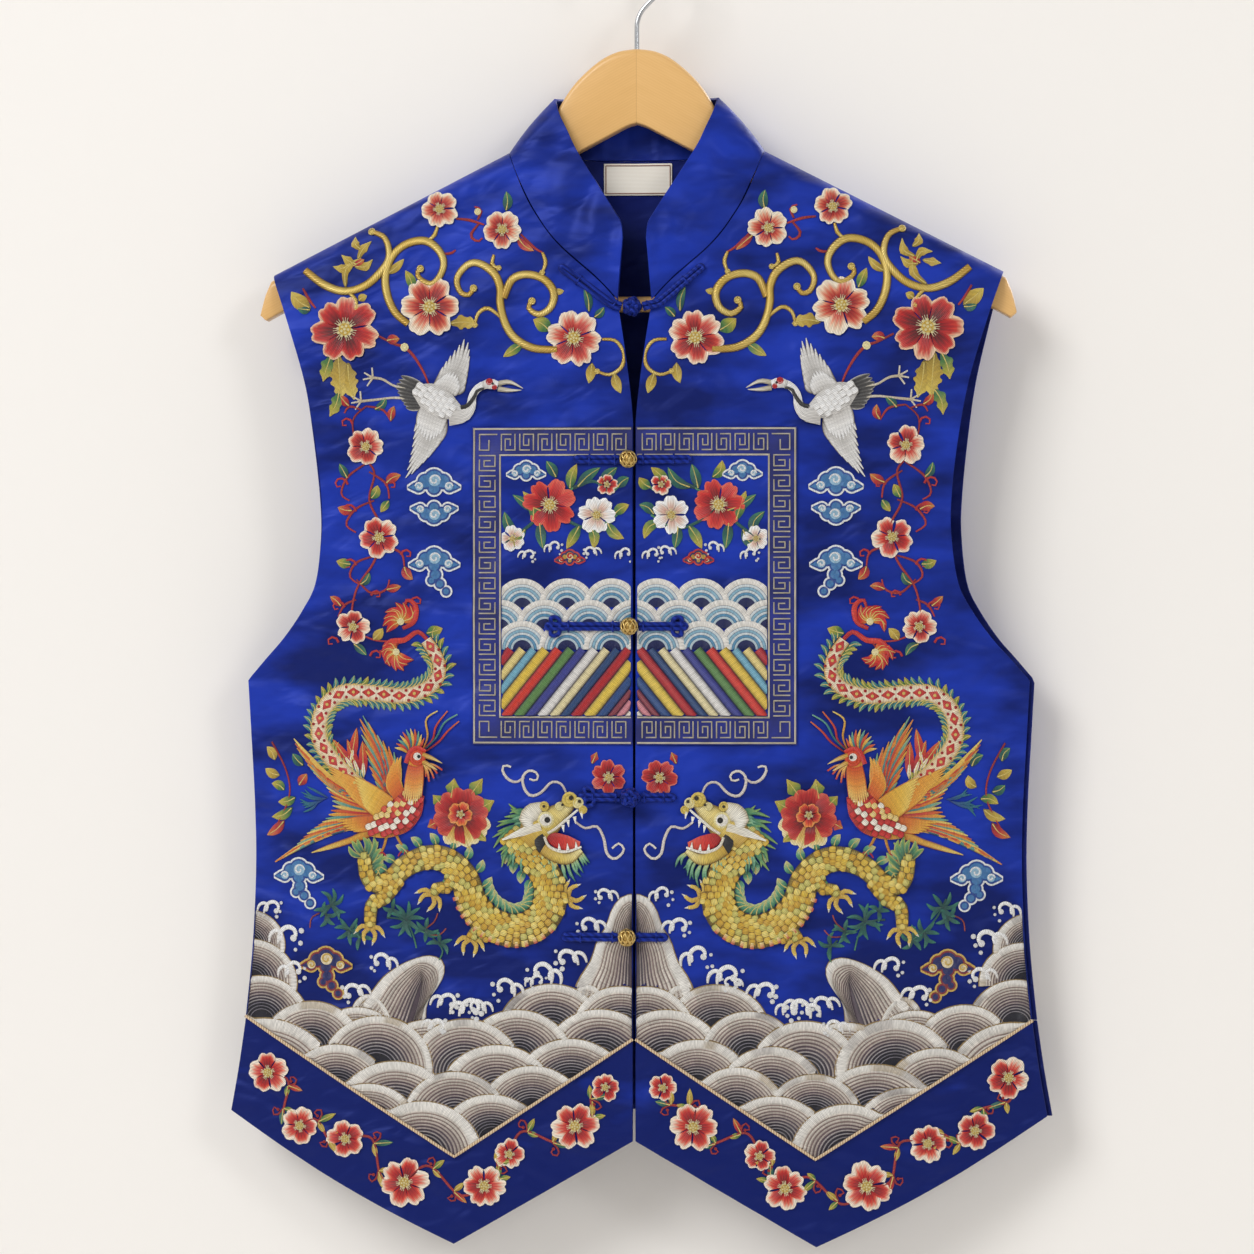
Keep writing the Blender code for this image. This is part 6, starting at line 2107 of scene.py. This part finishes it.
def hold_in(side, end_out):
    """Hold points inside one half of the badge, from the opening out to `end_out`."""
    def keep(x, z):
        low_z, high_z = (FIELD_BOTTOM + 1.0, FIELD_TOP - 1.0) if end_out < FIELD_OUT else (
            BADGE_BOTTOM, BADGE_TOP)
        z = np.clip(z, low_z, high_z)
        return side * np.clip(side * x, gape(z) + 1.1, end_out), z
    return keep


def stripe_band(hoop):
    """Slanting bars of satin stitch, cut off at the opening and the field's side."""
    slant, rise = 0.8 * (STRIPE_TOP - FIELD_BOTTOM), STRIPE_TOP - FIELD_BOTTOM
    edge = -1.6
    for colour, width in STRIPES:
        foot = np.array([edge - width / 2, FIELD_BOTTOM])
        head = foot + np.array([slant, rise])
        edge -= width
        first = np.clip((-FIELD_OUT - foot[0]) / slant, 0.0, 1.0)
        last = np.clip((-1.6 - foot[0]) / slant, 0.0, 1.0)
        if last - first > 0.02:
            ends = [foot + (head - foot) * first, foot + (head - foot) * last]
            rows = max(int((last - first) * 16), 2)
            # The dark rim on each bar's edges is painted shade where the rolled stitches turn away.
            ribbon(hoop, ends, [0.84 * width], [colour], lift=0.12, dome=1.3, across=8, rows=rows,
                   rim="#2E2A48")


def badge_field(draw):
    hoop = []
    stripe_band(hoop)
    levels = ((STRIPE_TOP + 25.0, 0.5), (STRIPE_TOP + 12.5, 0.0), (STRIPE_TOP, 0.5))
    waves = [Wave((-FIELD_OUT + (step + shift) * 26.5, z), 17.0)
             for z, shift in levels for step in range(4)]
    for index, wave in enumerate(waves):
        rings(hoop, circle(wave.middle, wave.radius, 20, 180.0, 180.0), wave.middle, FIELD_BANDS,
              0.15, over=waves[index + 1:])
    for x, z in ((-66, -372), (-50, -368), (-22, -370), (-8, -372)):
        foam_hook(hoop, (x, z), 14, draw.choice([-1, 1]), draw)
    for points in (
            ((-76, -362), (-62, -352), (-50, -340), (-36, -330)),
            ((-50, -340), (-38, -350), (-24, -354), (-10, -346)),
            ((-36, -330), (-24, -326), (-14, -332), (-8, -328))):
        stem(hoop, points, [2.2, 1.3], LEAF_TEAL)
    for base, tip in (
            ((-70, -358), (-77, -344)), ((-64, -354), (-74, -366)), ((-60, -350), (-66, -332)),
            ((-54, -344), (-72, -334)), ((-38, -331), (-34, -316)), ((-34, -330), (-20, -318)),
            ((-26, -352), (-24, -366)), ((-32, -352), (-40, -366)), ((-16, -350), (-6, -360)),
            ((-12, -346), (-3, -340)), ((-56, -350), (-54, -366)), ((-20, -328), (-10, -318)),
            ((-46, -324), (-52, -314)), ((-10, -330), (-3, -324))):
        leaf(hoop, base, tip, 6.4, draw.choice([LEAF_TEAL, LEAF_GREEN]), bend=draw.uniform(-0.2, 0.2))
    flower(hoop, (-50, -340), 16.0, 7, ("#7A0C14", "#C4161E", "#D8302A", "#E8604A"), draw)
    flower(hoop, (-22, -346), 11.5, 6, ("#D9A08C", "#F6E7DA", "#FFFFFF", "#FFFFFF"), draw)
    flower(hoop, (-72, -360), 8.0, 5, ("#D9A08C", "#F6E7DA", "#FFFFFF", "#FFFFFF"), draw)
    flower(hoop, (-16, -328), 6.5, 5, HEM_PETAL, draw)
    ruyi_cloud(hoop, (-64, -321), 13.0, *BLUE_CLOUD, foot=False)
    ruyi_cloud(hoop, (-38, -372), 10.0, "#C8302A", ("#F0D9AE", "#C79D3E", "#1B2468"), foot=False)
    return hoop


for side_name, side in (("left", -1), ("right", 1)):
    make_badge(side, side_name)
    field = badge_field(random.Random(110 + side))
    sew(f"badge_border_{side_name}", badge_border(side), silk,
        hold_in(side, BADGE_HALF_WIDTH - 0.4), badge_y)
    sew(f"badge_field_{side_name}", field if side < 0 else mirrored(field), silk,
        hold_in(side, FIELD_OUT - 1.0), badge_y)

# %% [markdown]
# Five closures hold the fronts. Each is a bar of satin cord, sewn down as a flat hairpin on
# both fronts, with a loop on one side and a button on the other. The first and the fourth
# button are balls knotted from the same cord, the others are hollow brass balls of filigree.

# %% Closures
Closure = namedtuple("Closure", "z button_x left right on_badge kind")
CLOSURES = (
    Closure(-222.7, -1.4, 44, 40.5, False, "knot"), Closure(-313.2, -3.2, 34.5, 33, True, "ball"),
    Closure(-411.8, -2.6, 52, 31, True, "ball"), Closure(-512.6, -2, 32, 24, False, "knot"),
    Closure(-595.2, -4, 41.5, 19, False, "ball"),
)
BUTTON_RADIUS = {"knot": 6.0, "ball": 5.3}
NECK_FROG_RISE = 24.0
CORD_RADIUS = 1.35
CORD_HEIGHT = 1.8       # how far the flat pair of cords stands up
LOBED_ENDS = {(3, "left"), (3, "right"), (4, "left")}
satin_cord = woven_material(
    "rolled satin cord", 2.4, "DIAGONAL", [(0, "#0D1A60"), (1, "#1A2E8C")], 0.25, 0.0004,
    {"Roughness": 0.36, "Sheen Weight": 0.05, "Sheen Roughness": 0.4,
     "Specular Tint": linear("#7C90FF")}, Distortion=1.5, Detail=1.0)


def hairpin(path, spread):
    """Out along one side of a path, round its end and back along the other."""
    line = along(path)
    f = np.linspace(0.0, 1.0, 22)
    centre = line(f)
    ahead = np.gradient(centre, axis=0)
    ahead /= np.linalg.norm(ahead, axis=1)[:, None]
    right = np.stack([ahead[:, 1], -ahead[:, 0]], axis=-1)
    turn = np.radians(np.linspace(90.0, -90.0, 9))[1:-1, None]
    end = centre[-1] + spread * (np.cos(turn) * ahead[-1] - np.sin(turn) * right[-1])
    return np.vstack([centre - right * spread, end, (centre + right * spread)[::-1]])


def make_frog(number, closure, side_name, side, reach):
    start = closure.button_x + side * (BUTTON_RADIUS[closure.kind] + 0.3)
    bar_end = side * (reach - CORD_RADIUS)
    if closure.z < NECK_FRONT[0].z - 10.0:
        path = [(start, closure.z), (bar_end, closure.z)]
    else:
        path = [(start, closure.z), (side * (NECK_FRONT[0].out + 4.0), closure.z + 2.0),
                (bar_end, closure.z + NECK_FROG_RISE - 1.0)]
    base = LAY_GAP + (BADGE_LIFT if closure.on_badge else 0.0) + 0.3
    lines = [hairpin(path, CORD_RADIUS)]
    tip, before = np.array(path[-1]), np.array(path[-2])
    ahead = (tip - before) / np.linalg.norm(tip - before)
    aside = np.array([-ahead[1], ahead[0]])
    if (number, side_name) in LOBED_ENDS:
        for way in (-1, 1):
            root = tip - ahead * 7.0
            lines.append(smooth([root, root + aside * way * 4.6 + ahead * 1.0,
                                 root + aside * way * 5.0 + ahead * 5.4, root + ahead * 5.0], 5))
    shape = bmesh.new()
    for points in lines:
        heights = base + CORD_RADIUS * 0.75 + np.zeros(len(points))
        y = front_y(points[:, 0], points[:, 1], heights)
        tube(shape, np.stack([points[:, 0], y, points[:, 1]], axis=-1), CORD_RADIUS, sides=10)
    for share in (0.1, 0.72):
        wrap = along(path)(share)
        ends = np.array([wrap - aside * 2.9, wrap - aside * 1.6, wrap + aside * 1.6,
                         wrap + aside * 2.9])
        y = front_y(ends[:, 0], ends[:, 1], base + np.array([0.2, 2.1, 2.1, 0.2]))
        tube(shape, smooth(np.stack([ends[:, 0], y, ends[:, 1]], axis=-1), 4), 0.7, sides=8)
    finish_solid(f"cord_frog_{number}_{side_name}", shape, satin_cord,
                 f"frog_{number}_{side_name}", 60.0)


def brass_material():
    paint, tree = new_material("aged brass filigree")
    hollow = add_node(tree, "NewGeometry").outputs["Pointiness"]
    colour = ramp(tree, hollow, [(0.44, "#3A2A12"), (0.52, "#A98645"), (0.6, "#D9BC78")])
    return coated(paint, {"Base Color": colour, "Metallic": 1.0, "Roughness": 0.34})


brass = brass_material()
BALL_WIRE = 0.42


def on_ball(up, turn):
    """Points on a ball of radius 1, by their height angle and their turn round the upright."""
    return np.stack([np.cos(up) * np.cos(turn), np.cos(up) * np.sin(turn), np.sin(up)], axis=-1)


def make_ball(number, centre, radius):
    """A hollow ball: a thin dark shell under scrolled wires and granules."""
    ball = bmesh.new()
    bmesh.ops.create_uvsphere(ball, u_segments=24, v_segments=16, radius=(radius - 0.9) * MM)
    bmesh.ops.translate(ball, verts=ball.verts, vec=Vector(centre) * MM)
    reach = radius - BALL_WIRE
    f = np.linspace(0.06, 0.94, 22)
    for index in range(9):
        for way in (-1, 1):
            path = centre + reach * on_ball(np.pi * (f - 0.5), math.tau * index / 9 + way * 1.5 * f)
            tube(ball, path, BALL_WIRE, sides=6)
    for row, up in enumerate((-0.9, -0.45, 0, 0.45, 0.9)):
        for index in range(9):
            place = centre + reach * on_ball(up, math.tau * (index + 0.5 * (row % 2)) / 9)
            grain = bmesh.ops.create_icosphere(ball, subdivisions=1, radius=0.62 * MM)["verts"]
            bmesh.ops.translate(ball, verts=grain, vec=Vector(place) * MM)
    finish_solid(f"brass_button_{number}", ball, brass, f"button_{number}", 60.0)


def make_knot(number, centre, radius):
    """A ball knotted from one cord: three leads with five bights over a core."""
    knot = bmesh.new()
    bmesh.ops.create_uvsphere(knot, u_segments=20, v_segments=12, radius=(radius - 1.6) * MM)
    bmesh.ops.translate(knot, verts=knot.verts, vec=Vector(centre) * MM)
    t = np.linspace(0.0, math.tau, 150)
    swell = radius - 1.35 + 0.35 * np.cos(15.0 * t)
    lead = on_ball(1.05 * np.sin(5.0 * t), 3.0 * t)[:, [0, 2, 1]] * (1.0, -1.0, 1.0)
    tube(knot, centre + swell[:, None] * lead, 1.3, sides=8)
    finish_solid(f"cord_button_{number}", knot, satin_cord, f"button_{number}", 60.0)


for number, closure in enumerate(CLOSURES, start=1):
    make_frog(number, closure, "left", -1, closure.left)
    make_frog(number, closure, "right", 1, closure.right)
    radius = BUTTON_RADIUS[closure.kind]
    stand = CORD_HEIGHT / 2 if gape(closure.z) > radius else radius
    base = LAY_GAP + (BADGE_LIFT if closure.on_badge else 0.0)
    centre = (closure.button_x, float(front_y(closure.button_x, closure.z, base + stand)), closure.z)
    (make_knot if closure.kind == "knot" else make_ball)(number, centre, radius)
print("closures made:", len(CLOSURES))

# %% [markdown]
# Two last trims. A thin piping of orange and cream thread covers the seam above each of the
# front hem bands. Inside the back of the neck sits a small woven label, left blank here.

# %% Piping and label
PIPING_RADIUS = 0.9
LABEL_WALL = 0.6
cotton = woven_material(
    "twisted cotton piping", 1.5, "X", [(0.2, "#A98A6A"), (0.7, "#DCC6A4")], 0.5, 0.0004,
    {"Roughness": 0.7})
label_weave = woven_material(
    "woven cream label", 0.8, "Z", [(0, "#F1EADC"), (1, "#FFFBF2")], 0.3, 0.0002,
    {"Roughness": 0.75})
for side_name, side in (("left", -1), ("right", 1)):
    out, z = band_seam(np.concatenate([
        np.linspace(0.0, POINT_SHARE, 34), np.linspace(POINT_SHARE, 1.0, 40)[1:]])).T
    shape = bmesh.new()
    tube(shape, np.stack([side * out, front_y(side * out, z, LAY_GAP + PIPING_RADIUS), z], axis=-1),
         PIPING_RADIUS, sides=8)
    finish_solid(f"cotton_piping_{side_name}", shape, cotton, f"piping_{side_name}")


def label_y(x, z, lift=0.0):
    return back_y(x, z, -WALL - LAY_GAP - LABEL_WALL - lift)


def make_label():
    u, v = np.meshgrid(np.linspace(-1.0, 1.0, 30), np.linspace(0.0, 1.0, 16))
    x, z = 20.5 * u, -134.0 - 19.0 * v
    label, _ = cloth_piece("woven_neck_label", x, label_y(x, z), z, LABEL_WALL, label_weave)
    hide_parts("neck_label")
    hoop = []
    edge = [(-19.3, -135.2), (19.3, -135.2), (19.3, -151.8), (-19.3, -151.8), (-19.3, -135.2)]
    for first, second in zip(edge, edge[1:]):
        ribbon(hoop, [first, second], [0.6], ["#B98A78"], lift=0.05, dome=0.25, across=2)
    sew("label_stitching", hoop, silk, None, label_y, slot="label")


make_label()
